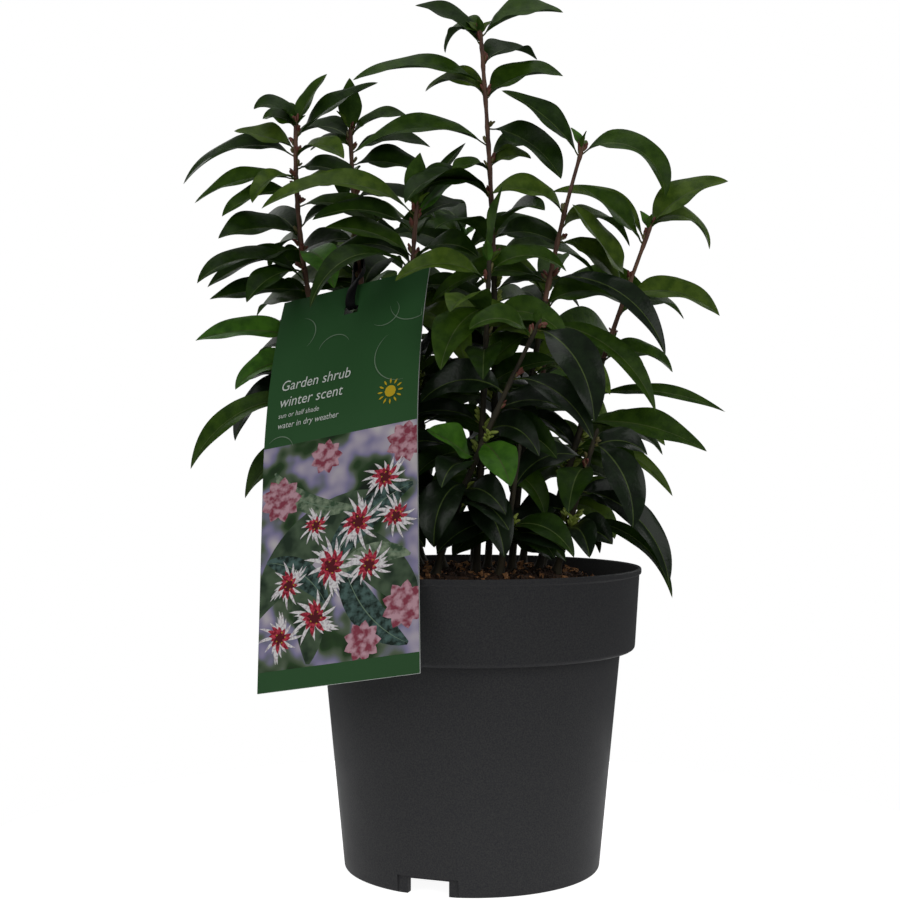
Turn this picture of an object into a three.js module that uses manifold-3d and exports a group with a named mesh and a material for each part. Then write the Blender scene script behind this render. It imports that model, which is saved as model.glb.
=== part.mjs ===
// Potted sweet box: an evergreen clump of upright leafy shoots in a round nursery pot,
// with a picture label that leans on the pot's rim and hangs by a strap from one shoot.
// Millimetres, +Z up. The origin is the centre of the pot's flat underside.
// +X is to the right of the label's printed face and -Y is the side that the label faces.
import * as THREE from "three";
import { mergeVertices } from "three/addons/utils/BufferGeometryUtils.js";
import Module from "manifold-3d";

const wasm = await Module();
wasm.setup();
const { Manifold, Mesh: SolidMesh } = wasm;

// Pot: outer radii, heights and wall
const POT_HEIGHT = 167;
const RIM_RADIUS = 95;
const BAND_LOW_RADIUS = 91.3;
const BAND_HEIGHT = 45.5;
const NECK_RADIUS = 83.3;
const FOOT_RADIUS = 71.6;
const WALL = 1.6;
const FLOOR_UNDERSIDE = 9;
const FLOOR_THICKNESS = 2;
const FOOT_RING_WIDTH = 6;
const HUB_RADIUS = 40;
const HUB_FLANK = 2;
const POT_SEGMENTS = 48;

// Drainage: notches through the foot ring, each in a shallow pocket, and holes in the floor
const NOTCH_COUNT = 3;
const NOTCH_TURN_DEG = 250;
const NOTCH_WIDTH = 23;
const NOTCH_HEIGHT = 8;
const POCKET_WIDTH = 34;
const POCKET_RADIUS = 69;
const DRAIN_COUNT = 6;
const DRAIN_RADIUS = 4.5;
const DRAIN_CIRCLE = 53;

// Soil: a flat crown round the stems that falls away to the wall
const CROWN_Z = 165;
const CROWN_RADIUS = 54;
const SOIL_EDGE_Z = 150;
const FIT_GAP = 0.35;

// Stems
const STEM_SIDES = 5;
const FOOT_STEM_RADIUS = 2.2;
const TIP_STEM_RADIUS = 1;
const ROOT_FLARE = 1.5;
const ROOT_FLARE_HEIGHT = 7;
const PATH_STEP = 26;

// Leaves: sizes and carriage from the shoot's tip down to its lowest leaf
const LEAF_STEPS = 16;
const LEAF_RINGS = [0, 2, 6, 11];
const TIP_LEAF_LENGTH = 52;
const LONGEST_LEAF = 80;
const LOWEST_LEAF_LENGTH = 52;
const LEAF_WIDTH_BASE = 9;
const LEAF_WIDTH_PER_LENGTH = 0.125;
const LEAF_BREADTH = 1.2;
const LEAF_THICKNESS = 0.013;
const PETIOLE_HALF_WIDTH = 0.9;
const PETIOLE_THICKNESS = 1.6;
const BLADE_START = 0.07;
const BLADE_FOLD = 0.28;
const LIGHT_FROM = new THREE.Vector3(-0.15, -0.8, 0.58);
const LIGHT_SHARE = 0.95;
const HIGH_LIGHT_SHARE = 0.62;
const HIGH_LIGHT_Z = 466;
const LIGHT_ROLL_DEG = 52;
const TOP_RISE_DEG = 66;
const LOW_RISE_DEG = 20;
const BEND_DEG = 84;
const LEAF_CROWDING = 1.15;
const LOWEST_LEAF_SHARE = 0.92;
const CLEARANCE = 4;
const OWN_CLEARANCE = 3;
const SHARED_BASE = 0.34;
const TRIES = 9;
const TRY_TURN_DEG = 15;
const JOIN_TOLERANCE = 0.04;

// Label: a bent card that leans back from the rim into the leaves
const LABEL_WIDTH = 94.5;
const LABEL_LENGTH = 234.5;
const LABEL_THICKNESS = 0.8;
const LABEL_CORNER = new THREE.Vector3(-111.8, -72.3, 106);
const LABEL_YAW_DEG = 24.3;
const LABEL_ROLL_DEG = 10;
const LABEL_LEAN_DEG = 18.6;
const LABEL_BEND_DEG = 17.8;
const LABEL_BEND_START = 0.5;
const LABEL_ROWS = 18;
const SLOT_ACROSS = 0.5;
const SLOT_ALONG = 0.922;
const SLOT_WIDTH = 9;
const SLOT_HEIGHT = 5.4;

// Strap: a loop through the label's slot and round the shoot named in STRAP_SHOOT
const STRAP_SHOOT = "left_back";
const STRAP_STEM_Z = 342;
const STRAP_WIDTH = 6;
const STRAP_THICKNESS = 0.9;
const STRAP_OPENING = 4;
const STRAP_RISE = 22;
const STRAP_STEPS = 32;

// Shoots, in growing order: the foot on the crown, the elbow that its curve leans to, its tip and
// the bare share of its height. Its upper leaves are framing leaves, which make the crown's
// outline: each has its drop below the tip, its heading in degrees from +X towards +Y, its length,
// its rise from the level, how far it bends down, and its width. The leaves below them follow the
// rule: their count, the heading of the first, the turn to the next and a factor for their size.
const SHOOTS = [
  { name: "tall_centre", foot: [9, 6], elbow: [19, 6, 300], tip: [5, 0, 466], bare: 0.2,
    framing: [
      [1, 354, 50, 43, 56, 24], [6, 182, 45, 54, 46, 18], [1, 142, 35, 64, 150, 18],
      [17, 36, 44, 54, 82, 20], [27, 181, 77, 27, 52, 18], [36, 352, 51, 50, 64, 24],
      [35, 160, 42, 60, 100, 17], [62, 179, 80, 33, 71, 18], [52, 346, 54, -8, 56, 22],
      [74, 310, 30, 46, 70, 14], [76, 215, 28, 30, 80, 13], [92, 206, 52, 44, 90, 22],
      [114, 334, 42, 24, 64, 18],
    ],
    leaves: 14, heading: 250, turn: 139, size: 1 },
  { name: "right_centre", foot: [22, -10], elbow: [31, -14, 300], tip: [61, -12, 399], bare: 0.22,
    framing: [
      [3, 352, 66, 38, 132, 19], [4, 182, 58, 58, 36, 16], [36, 190, 46, 56, 84, 18],
      [51, 10, 46, -4, 62, 17], [72, 353, 92, 8, 84, 14], [74, 196, 76, 30, 80, 17],
      [97, 346, 86, -2, 72, 13],
    ],
    leaves: 11, heading: 150, turn: 140, size: 1 },
  { name: "left_centre", foot: [-16, 4], elbow: [-40, 5, 290], tip: [-31, 1, 369], bare: 0.22,
    framing: [
      [1, 300, 34, 82, 14, 14], [2, 336, 70, 58, 14, 8], [5, 184, 95, 44, 84, 18],
      [6, 350, 46, 54, 24, 12], [9, 336, 50, 46, 46, 16], [14, 192, 62, 40, 70, 16],
      [18, 88, 50, 50, 80, 16], [28, 204, 58, 42, 50, 16], [30, 322, 50, 38, 80, 16],
      [36, 216, 84, 36, 112, 14], [46, 342, 56, 22, 74, 15], [58, 296, 62, 0, 72, 20],
    ],
    leaves: 10, heading: 60, turn: 138, size: 1 },
  { name: "left", foot: [-37, 14], elbow: [-106, 34, 290], tip: [-102, 28, 420], bare: 0.2,
    framing: [
      [1, 10, 38, 72, 22, 12], [2, 200, 33, 84, 122, 16], [6, 352, 58, 44, 24, 17],
      [1, 232, 30, 58, 80, 20], [12, 184, 42, 26, 18, 17], [17, 178, 85, 31, 82, 17],
      [17, 318, 44, 30, 78, 15], [24, 338, 42, 10, 52, 17], [30, 178, 63, 12, 50, 16],
      [30, 224, 40, 16, 90, 13], [37, 196, 48, 4, 50, 16], [46, 340, 56, 14, 62, 16],
      [62, 202, 50, 16, 44, 24], [66, 120, 50, 20, 70, 16], [70, 182, 60, -8, 30, 16],
      [74, 300, 52, 8, 74, 17], [84, 226, 50, 4, 60, 17], [95, 180, 58, 6, 22, 18],
    ],
    leaves: 7, heading: 60, turn: 139, size: 1 },
  { name: "right", foot: [37, -6], elbow: [66, -12, 268], tip: [98, -15, 354], bare: 0.24,
    framing: [
      [1, 356, 54, 60, 56, 20], [4, 18, 54, 70, 155, 14], [6, 158, 67, 66, 74, 13],
      [8, 196, 50, 52, 26, 17], [30, 200, 55, 53, 4, 19], [38, 2, 58, 26, 72, 18],
      [60, 90, 36, 20, 80, 13], [92, 353, 76, 14, 42, 9], [107, 348, 72, 8, 42, 17],
      [116, 352, 64, -2, 58, 9],
    ],
    leaves: 6, heading: 140, turn: 138, size: 0.9 },
  { name: "left_back", foot: [-30, 26], elbow: [-66, 27, 280], tip: [-71, 40, 420], bare: 0.2,
    framing: [
      [1, 268, 32, 84, 8, 12], [3, 350, 38, 50, 66, 14], [6, 150, 46, 50, 84, 16],
      [9, 190, 40, 34, 64, 15], [13, 4, 49, 34, 58, 15], [20, 342, 48, 14, 46, 22],
      [28, 100, 46, 34, 90, 16], [34, 186, 54, 28, 60, 17], [40, 20, 56, 24, 70, 17],
      [50, 60, 50, 20, 80, 16], [66, 150, 54, 20, 70, 17], [88, 172, 84, 12, 30, 18],
    ],
    leaves: 10, heading: 60, turn: 139, size: 1 },
  { name: "front_leaning", foot: [-20, -38], elbow: [-8, -52, 214], tip: [34, -56, 298], bare: 0.26,
    framing: [
      [2, 316, 68, -14, 76, 20], [7, 200, 40, 56, 100, 15], [28, 326, 62, 0, 68, 14],
      [46, 20, 44, 36, 70, 15], [62, 330, 42, -14, 50, 17], [72, 200, 36, 40, 24, 19],
      [84, 236, 50, 4, 104, 20], [89, 330, 52, -6, 82, 18],
    ],
    leaves: 3, heading: 260, turn: 132, size: 0.9 },
  { name: "centre_front", foot: [2, -24], elbow: [6, -31, 262], tip: [9, -33, 333], bare: 0.24,
    framing: [
      [1, 308, 44, 82, 14, 18], [6, 14, 50, 52, 96, 15], [11, 172, 58, 46, 90, 16],
      [24, 258, 62, -8, 70, 20], [30, 320, 54, 30, 90, 17], [40, 356, 58, 34, 96, 17],
      [50, 222, 56, 24, 88, 17], [59, 300, 40, 58, 30, 18], [68, 340, 44, 40, 40, 17],
    ],
    leaves: 9, heading: 120, turn: 137, size: 1 },
  { name: "low_right", foot: [46, -22], elbow: [56, -34, 206], tip: [66, -40, 240], bare: 0.22,
    framing: [
      [4, 328, 54, -28, 70, 17], [8, 40, 40, 40, 90, 14], [14, 200, 50, 30, 96, 16],
      [18, 250, 44, 4, 76, 16], [30, 350, 75, -6, 80, 14], [48, 352, 76, 10, 92, 8],
    ],
    leaves: 4, heading: 120, turn: 151, size: 0.8 },
  { name: "low_left", foot: [-46, 0], elbow: [-86, 6, 232], tip: [-98, 22, 298], bare: 0.22,
    framing: [
      [2, 170, 66, 20, 40, 18], [3, 112, 40, 60, 90, 15], [18, 200, 50, 22, 80, 17],
      [26, 172, 62, 4, 84, 16], [40, 184, 92, 16, 86, 15], [58, 178, 62, -6, 62, 16],
      [70, 150, 62, -14, 66, 16], [80, 160, 60, -24, 58, 16],
    ],
    leaves: 4, heading: 60, turn: 148, size: 0.9 },
  { name: "right_back", foot: [40, 16], elbow: [60, 32, 212], tip: [68, 46, 246], bare: 0.22,
    framing: [],
    leaves: 8, heading: 62, turn: 141, size: 0.75 },
  { name: "back_right", foot: [30, 34], elbow: [44, 52, 254], tip: [46, 66, 326], bare: 0.22,
    framing: [],
    leaves: 15, heading: 60, turn: 137, size: 1 },
  { name: "back_centre", foot: [2, 44], elbow: [2, 66, 270], tip: [-4, 80, 362], bare: 0.22,
    framing: [],
    leaves: 15, heading: 100, turn: 140, size: 1 },
  { name: "back_left", foot: [-28, 46], elbow: [-52, 68, 250], tip: [-66, 84, 338], bare: 0.22,
    framing: [],
    leaves: 14, heading: 140, turn: 138, size: 1 },
  { name: "front_low", foot: [14, -44], elbow: [20, -54, 200], tip: [24, -60, 232], bare: 0.24,
    framing: [
      [38, 186, 44, 8, 64, 16], [42, 338, 32, 4, 66, 15],
    ],
    leaves: 9, heading: 290, turn: 139, size: 0.85 },
  { name: "low_front_left", foot: [-42, -24], elbow: [-52, -34, 196], tip: [-54, -36, 222], bare: 0.24,
    framing: [],
    leaves: 7, heading: 200, turn: 141, size: 0.8 },
];

const GREEN = 0x2c4a22;
const BARK = 0x5b3a2a;
const materials = {
  pot: new THREE.MeshStandardMaterial({ color: 0x35363a, roughness: 0.55, metalness: 0 }),
  soil: new THREE.MeshStandardMaterial({ color: 0x4a3222, roughness: 1, metalness: 0 }),
  stem: new THREE.MeshStandardMaterial({ color: BARK, roughness: 0.8, metalness: 0 }),
  foliage: new THREE.MeshStandardMaterial({ color: GREEN, roughness: 0.45, metalness: 0 }),
  label: new THREE.MeshStandardMaterial({ color: 0x2a5a38, roughness: 0.4, metalness: 0 }),
  strap: new THREE.MeshStandardMaterial({ color: 0x15151a, roughness: 0.5, metalness: 0 }),
};

const radians = THREE.MathUtils.degToRad;
const mix = THREE.MathUtils.lerp;

// A number from 0 to 1 that depends only on the shoot's place in the list and a count.
function chance(shootIndex, count) {
  const wave = Math.sin((shootIndex + 1) * 127.1 + count * 311.7) * 43758.5453;
  return wave - Math.floor(wave);
}

// A closed three.js geometry as a manifold solid.
function solidFrom(geometry) {
  const bare = geometry.index ? geometry.toNonIndexed() : geometry.clone();
  bare.deleteAttribute("normal");
  bare.deleteAttribute("uv");
  const merged = mergeVertices(bare, 1e-4);
  return new Manifold(
    new SolidMesh({
      numProp: 3,
      vertProperties: merged.attributes.position.array,
      triVerts: new Uint32Array(merged.index.array),
    }),
  );
}

// A geometry from points and the corner numbers of its triangles.
function closedGeometry(points, faces) {
  const geometry = new THREE.BufferGeometry();
  const places = points.flatMap((point) => point.toArray());
  geometry.setAttribute("position", new THREE.Float32BufferAttribute(places, 3));
  geometry.setIndex(faces);
  return geometry;
}

// A closed surface from rings of points, each ring joined to the next, with a flat cut or a point
// at the ends. A last ring of one point closes to a tip. The squares of a blade's under sides are
// split along the diagonal that its upper face has there, so that the two faces never cross.
function lofted(rings, underSides = []) {
  const points = rings.flat();
  const faces = [];
  const sides = rings[0].length;
  const first = [];
  rings.reduce((start, ring) => (first.push(start), start + ring.length), 0);
  for (let side = 1; side < sides - 1; side++) faces.push(0, side + 1, side);
  for (let ring = 0; ring < rings.length - 1; ring++)
    for (let side = 0; side < sides; side++) {
      const next = (side + 1) % sides;
      const a = first[ring] + side;
      const b = first[ring] + next;
      if (rings[ring + 1].length === 1) faces.push(a, b, first[ring + 1]);
      else {
        const c = first[ring + 1] + next;
        const d = first[ring + 1] + side;
        if (underSides.includes(side)) faces.push(a, b, d, b, c, d);
        else faces.push(a, b, c, a, c, d);
      }
    }
  const last = rings.length - 1;
  if (rings[last].length > 1)
    for (let side = 1; side < sides - 1; side++)
      faces.push(first[last], first[last] + side, first[last] + side + 1);
  return closedGeometry(points, faces);
}

// The finished solid as a named mesh of the scene.
function meshOf(name, solid, material) {
  const { numProp, vertProperties, triVerts } = solid.getMesh();
  const geometry = new THREE.BufferGeometry();
  const positions = new Float32Array((vertProperties.length / numProp) * 3);
  for (let i = 0; i < positions.length / 3; i++)
    positions.set(vertProperties.subarray(i * numProp, i * numProp + 3), i * 3);
  geometry.setAttribute("position", new THREE.BufferAttribute(positions, 3));
  geometry.setIndex(new THREE.BufferAttribute(new Uint32Array(triVerts), 1));
  geometry.computeVertexNormals();
  const mesh = new THREE.Mesh(geometry, material);
  mesh.name = name;
  return mesh;
}

// A profile of [radius, height] pairs from axis to axis, turned about +Z.
function turned(profile) {
  const points = profile.map(([radius, height]) => new THREE.Vector2(radius, height));
  return new THREE.LatheGeometry(points, POT_SEGMENTS).rotateX(Math.PI / 2);
}

// A box that stands on the ground plane at the given radius and heading.
function radialBox(width, depth, height, radius, headingDeg) {
  return new THREE.BoxGeometry(depth, width, height)
    .translate(radius, 0, 0)
    .rotateZ(radians(headingDeg));
}

// The outer radius of the pot's wall below the band, at a height.
function wallRadius(height) {
  return mix(FOOT_RADIUS, NECK_RADIUS, height / (POT_HEIGHT - BAND_HEIGHT));
}

function makePot() {
  const bandFoot = POT_HEIGHT - BAND_HEIGHT;
  const floorTop = FLOOR_UNDERSIDE + FLOOR_THICKNESS;
  const footInner = FOOT_RADIUS - FOOT_RING_WIDTH;
  const profile = [
    [0, 0],
    [HUB_RADIUS, 0],
    [HUB_RADIUS + HUB_FLANK, FLOOR_UNDERSIDE],
    [footInner, FLOOR_UNDERSIDE],
    [footInner, 0],
    [FOOT_RADIUS - 0.6, 0],
    [wallRadius(1.5), 1.5],
    [NECK_RADIUS, bandFoot],
    [BAND_LOW_RADIUS - 2.4, bandFoot + 0.4],
    [BAND_LOW_RADIUS - 0.3, bandFoot + 3],
    [RIM_RADIUS - 0.9, POT_HEIGHT - 4],
    [RIM_RADIUS, POT_HEIGHT - 3],
    [RIM_RADIUS, POT_HEIGHT],
    [RIM_RADIUS - WALL - 0.4, POT_HEIGHT],
    [BAND_LOW_RADIUS - WALL - 0.4, bandFoot + 5],
    [NECK_RADIUS - WALL, bandFoot + 2],
    [wallRadius(floorTop) - WALL, floorTop],
    [HUB_RADIUS, floorTop],
    [HUB_RADIUS - HUB_FLANK, FLOOR_THICKNESS],
    [0, FLOOR_THICKNESS],
  ];
  const cutters = [];
  for (let i = 0; i < NOTCH_COUNT; i++) {
    const heading = NOTCH_TURN_DEG + (i * 360) / NOTCH_COUNT;
    cutters.push(radialBox(NOTCH_WIDTH, 30, 2 * NOTCH_HEIGHT, FOOT_RADIUS, heading));
    cutters.push(radialBox(POCKET_WIDTH, 20, 2 * NOTCH_HEIGHT + 3, POCKET_RADIUS + 10, heading));
  }
  for (let i = 0; i < DRAIN_COUNT; i++) {
    const heading = (i * 2 * Math.PI) / DRAIN_COUNT;
    cutters.push(
      new THREE.CylinderGeometry(DRAIN_RADIUS, DRAIN_RADIUS, 4 * FLOOR_THICKNESS, 12)
        .rotateX(Math.PI / 2)
        .translate(DRAIN_CIRCLE * Math.cos(heading), DRAIN_CIRCLE * Math.sin(heading), FLOOR_UNDERSIDE),
    );
  }
  return solidFrom(turned(profile)).subtract(Manifold.union(cutters.map(solidFrom)));
}

function makeSoil() {
  const floor = FLOOR_UNDERSIDE + FLOOR_THICKNESS + FIT_GAP;
  const inner = (height) => wallRadius(height) - WALL - FIT_GAP;
  const bandFoot = POT_HEIGHT - BAND_HEIGHT;
  const shoulder = BAND_LOW_RADIUS - WALL - 0.4 - FIT_GAP;
  const profile = [
    [0, FLOOR_THICKNESS + FIT_GAP],
    [HUB_RADIUS - HUB_FLANK - 1, FLOOR_THICKNESS + FIT_GAP],
    [HUB_RADIUS - 1, floor],
    [inner(floor), floor],
    [inner(bandFoot), bandFoot + 2 + FIT_GAP],
    [shoulder - 0.6, bandFoot + 5 + 2 * FIT_GAP],
    [shoulder + 1.2, SOIL_EDGE_Z],
    [CROWN_RADIUS + 18, mix(SOIL_EDGE_Z, CROWN_Z, 0.55)],
    [CROWN_RADIUS, CROWN_Z],
    [0, CROWN_Z],
  ];
  return solidFrom(turned(profile));
}

// The point and the upward direction of a shoot's curve at a share of its height.
function shootPath(shoot, share) {
  const foot = new THREE.Vector3(shoot.foot[0], shoot.foot[1], CROWN_Z + FIT_GAP);
  const curve = new THREE.QuadraticBezierCurve3(
    foot,
    new THREE.Vector3(...shoot.elbow),
    new THREE.Vector3(...shoot.tip),
  );
  return { point: curve.getPoint(share), tangent: curve.getTangent(share) };
}

function stemRadius(share) {
  return mix(FOOT_STEM_RADIUS, TIP_STEM_RADIUS, share);
}

// A ring of points round a place, square to a direction.
function ringAround(point, tangent, radius, sides) {
  const across = new THREE.Vector3(1, 0, 0).addScaledVector(tangent, -tangent.x).normalize();
  const beside = new THREE.Vector3().crossVectors(tangent, across);
  return Array.from({ length: sides }, (_, side) => {
    const angle = (side * 2 * Math.PI) / sides;
    return point
      .clone()
      .addScaledVector(across, radius * Math.cos(angle))
      .addScaledVector(beside, radius * Math.sin(angle));
  });
}

// The bare foot of a shoot, with its root flare, from a flat cut on the crown.
function makeBareStem(shoot) {
  const flareShare = ROOT_FLARE_HEIGHT / (shoot.tip[2] - CROWN_Z);
  const up = new THREE.Vector3(0, 0, 1);
  const foot = shootPath(shoot, 0);
  const rings = [ringAround(foot.point, up, FOOT_STEM_RADIUS * ROOT_FLARE, STEM_SIDES)];
  for (const share of [flareShare, (flareShare + shoot.bare) / 2, shoot.bare]) {
    const { point, tangent } = shootPath(shoot, share);
    rings.push(ringAround(point, tangent, stemRadius(share), STEM_SIDES));
  }
  return solidFrom(lofted(rings));
}

// The leafy part of a shoot's stem, a hair clear of the bare foot, closed to a bud at the tip.
function makeLeafyStem(shoot) {
  const steps = Math.ceil(((1 - shoot.bare) * (shoot.tip[2] - CROWN_Z)) / PATH_STEP);
  const rings = [];
  for (let step = 0; step <= steps; step++) {
    const share = mix(shoot.bare, 1, step / steps);
    const { point, tangent } = shootPath(shoot, share);
    if (step === 0) point.addScaledVector(tangent, FIT_GAP);
    rings.push(ringAround(point, tangent, stemRadius(share), STEM_SIDES));
  }
  const end = shootPath(shoot, 1);
  rings.push([end.point.addScaledVector(end.tangent, 4 * TIP_STEM_RADIUS)]);
  return solidFrom(lofted(rings));
}

// Half the blade's width, as a share of its greatest, at a share of its length.
function bladeShape(share) {
  const v = Math.max(0, (share - BLADE_START) / (1 - BLADE_START));
  return (Math.pow(v, 0.85) * Math.pow(1 - v, 0.8)) / 0.319;
}

// The share of a shoot's path at a height.
function shareAtHeight(shoot, height) {
  let low = 0;
  let high = 1;
  for (let i = 0; i < 30; i++) {
    const middle = (low + high) / 2;
    if (shootPath(shoot, middle).point.z < height) low = middle;
    else high = middle;
  }
  return low;
}

// A framing leaf, as its row in the shoot's list states it.
function framingLeaf(shoot, [drop, heading, length, rise, bend, width]) {
  return {
    share: shareAtHeight(shoot, shoot.tip[2] - drop),
    length,
    width,
    heading: radians(heading),
    rise: radians(rise),
    bend: radians(bend),
    sweep: 0,
    roll: 0,
  };
}

// A leaf below the framing leaves, by the rule.
function ruledLeaf(shoot, shootIndex, rank) {
  const lowest = shoot.framing.length ? framingLeaf(shoot, shoot.framing.at(-1)).share : 1;
  const count = rank + (shoot.framing.length ? 1 : 0);
  const share = mix(lowest, shoot.bare, Math.pow(count / shoot.leaves, LEAF_CROWDING) * LOWEST_LEAF_SHARE);
  const down = (1 - share) / (1 - shoot.bare);
  const draw = (salt) => chance(shootIndex, rank * 7 + salt) - 0.5;
  const hump = Math.sin(Math.PI * Math.min(1, 0.12 + 0.95 * down));
  const plain = mix(TIP_LEAF_LENGTH, LOWEST_LEAF_LENGTH, down);
  const length = shoot.size * (plain + (LONGEST_LEAF - plain) * hump * 0.85) * (1 + 0.24 * draw(1));
  return {
    share,
    length,
    width: (LEAF_WIDTH_BASE + LEAF_WIDTH_PER_LENGTH * length) * (1 + 0.22 * draw(2)),
    heading: radians(shoot.heading + rank * shoot.turn + 24 * draw(3)),
    rise: radians(mix(TOP_RISE_DEG, LOW_RISE_DEG, Math.pow(down, 0.8)) + 18 * draw(4)),
    bend: radians(BEND_DEG + 40 * draw(5)),
    sweep: radians(36 * draw(6)),
    roll: radians(34 * draw(7)),
  };
}

// The leaf as a later try places it: turned aside to left and right in turn, and a little shorter.
function turnedAside(leaf, attempt) {
  const side = attempt % 2 ? 1 : -1;
  return {
    ...leaf,
    heading: leaf.heading + radians(side * Math.ceil(attempt / 2) * TRY_TURN_DEG),
    length: leaf.length * (1 - 0.03 * attempt),
  };
}

// The directions of a leaf at a share of its length: along it, level across it, and out of its face.
function leafFrame(leaf, u) {
  const rise = leaf.rise - leaf.bend * Math.pow(u, 0.9);
  const heading = leaf.heading + leaf.sweep * u;
  const along = new THREE.Vector3(
    Math.cos(rise) * Math.cos(heading),
    Math.cos(rise) * Math.sin(heading),
    Math.sin(rise),
  );
  const level = new THREE.Vector3(-Math.sin(heading), Math.cos(heading), 0);
  return { along, level, upper: new THREE.Vector3().crossVectors(along, level) };
}

// How far a leaf rolls about its midline to turn its face to the light, with its own share of chance.
// A leaf high in the crown has light from all round and turns less.
function leafRoll(leaf, height) {
  const { level, upper } = leafFrame(leaf, 0.5);
  const wanted = Math.atan2(-LIGHT_FROM.dot(level), Math.abs(LIGHT_FROM.dot(upper)));
  const most = radians(LIGHT_ROLL_DEG);
  const share = mix(LIGHT_SHARE, HIGH_LIGHT_SHARE, (height - CROWN_Z) / (HIGH_LIGHT_Z - CROWN_Z));
  return THREE.MathUtils.clamp(wanted * share, -most, most) + leaf.roll;
}

// The stations of a leaf's midline, from the stem's axis to its tip.
function leafStations(shoot, leaf) {
  const place = shootPath(shoot, leaf.share).point;
  const step = leaf.length / LEAF_STEPS;
  const roll = leafRoll(leaf, place.z);
  const halfWidth = (LEAF_BREADTH * leaf.width) / 2;
  const stations = [];
  for (let i = 0; i <= LEAF_STEPS; i++) {
    const u = i / LEAF_STEPS;
    const { along, level, upper } = leafFrame(leaf, u);
    const turn = roll * Math.min(1, 4 * u);
    const across = level.clone().multiplyScalar(Math.cos(turn)).addScaledVector(upper, Math.sin(turn));
    upper.multiplyScalar(Math.cos(turn)).addScaledVector(level, -Math.sin(turn));
    stations.push({ u, point: place.clone(), across, upper, halfWidth: halfWidth * bladeShape(u) });
    place.addScaledVector(along, step);
  }
  return stations;
}

// The edge of the blade at a station, on one side, raised by the fold.
function bladeEdge(station, side, halfWidth, fold) {
  return station.point
    .clone()
    .addScaledVector(station.across, side * halfWidth)
    .addScaledVector(station.upper, fold * halfWidth);
}

// The leaf as a thin closed blade on its petiole, its root on the stem's axis.
function makeLeaf(leaf, stations) {
  const rings = LEAF_RINGS.map((i) => {
    const station = stations[i];
    const stalk = i === 0;
    const halfWidth = stalk ? PETIOLE_HALF_WIDTH : station.halfWidth;
    const fold = stalk ? 0 : BLADE_FOLD;
    const thickness = stalk ? PETIOLE_THICKNESS : LEAF_THICKNESS * leaf.length;
    return [
      bladeEdge(station, 1, halfWidth, fold),
      station.point.clone().addScaledVector(station.upper, thickness / 2),
      bladeEdge(station, -1, halfWidth, fold),
      station.point.clone().addScaledVector(station.upper, -thickness / 2),
    ];
  });
  rings.push([stations[LEAF_STEPS].point]);
  return solidFrom(lofted(rings, [2, 3]));
}

// What is already grown, as points that the next leaf keeps away from.
const taken = [];

function takePoint(point, owner, u) {
  taken.push({ x: point.x, y: point.y, z: point.z, owner, u });
}

function hitsPot(point) {
  const radius = Math.hypot(point.x, point.y);
  if (point.z < CROWN_Z + 3 && radius < RIM_RADIUS) return true;
  return point.z < POT_HEIGHT + 4 && radius < RIM_RADIUS + 5;
}

// The points of a leaf that are tested against what is taken, five across at each station.
function leafNet(stations) {
  return stations.flatMap(({ u, ...station }) =>
    [-1, -0.5, 0, 0.5, 1].map((side) => ({
      u,
      point: bladeEdge(station, Math.sign(side), Math.abs(side) * station.halfWidth, BLADE_FOLD),
    })),
  );
}

function isClear(net, owner) {
  return net.every(({ u, point }) => {
    if (hitsPot(point)) return false;
    return taken.every((other) => {
      const own = other.owner === owner;
      if (own && (u < SHARED_BASE || other.u < SHARED_BASE)) return true;
      const limit = own ? OWN_CLEARANCE : CLEARANCE;
      const gap = (other.x - point.x) ** 2 + (other.y - point.y) ** 2 + (other.z - point.z) ** 2;
      return gap > limit * limit;
    });
  });
}

// The first clear place for a leaf among a few tries, as its stations, or nothing.
function settle(leaf, shoot, shootIndex) {
  for (let attempt = 0; attempt < TRIES; attempt++) {
    const tried = turnedAside(leaf, attempt);
    const stations = leafStations(shoot, tried);
    const net = leafNet(stations);
    if (!isClear(net, shootIndex)) continue;
    net.forEach(({ u, point }) => takePoint(point, shootIndex, u));
    return [makeLeaf(tried, stations)];
  }
  return [];
}

// The leaves of every shoot: all framing leaves first, then the ruled ones, top leaf first.
function growLeaves() {
  const framed = SHOOTS.map((shoot, index) =>
    shoot.framing.flatMap((row) => settle(framingLeaf(shoot, row), shoot, index)),
  );
  return SHOOTS.map((shoot, index) => {
    const ranks = Array.from({ length: shoot.leaves }, (_, rank) => rank);
    const ruled = ranks.flatMap((rank) => settle(ruledLeaf(shoot, index, rank), shoot, index));
    return [...framed[index], ...ruled];
  });
}

// The label's frame: across its width, up its length before it bends, and away from its face.
const labelAcross = new THREE.Vector3(
  Math.cos(radians(LABEL_YAW_DEG)) * Math.cos(radians(LABEL_ROLL_DEG)),
  -Math.sin(radians(LABEL_YAW_DEG)) * Math.cos(radians(LABEL_ROLL_DEG)),
  Math.sin(radians(LABEL_ROLL_DEG)),
);
const labelUp = new THREE.Vector3(0, 0, 1).addScaledVector(labelAcross, -labelAcross.z).normalize();
const labelBack = new THREE.Vector3().crossVectors(labelUp, labelAcross);

// How far the card has leaned back at a share of its length, in radians.
function labelLean(along) {
  const bent = Math.max(0, (along - LABEL_BEND_START) / (1 - LABEL_BEND_START));
  return radians(LABEL_LEAN_DEG + LABEL_BEND_DEG * bent);
}

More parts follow.
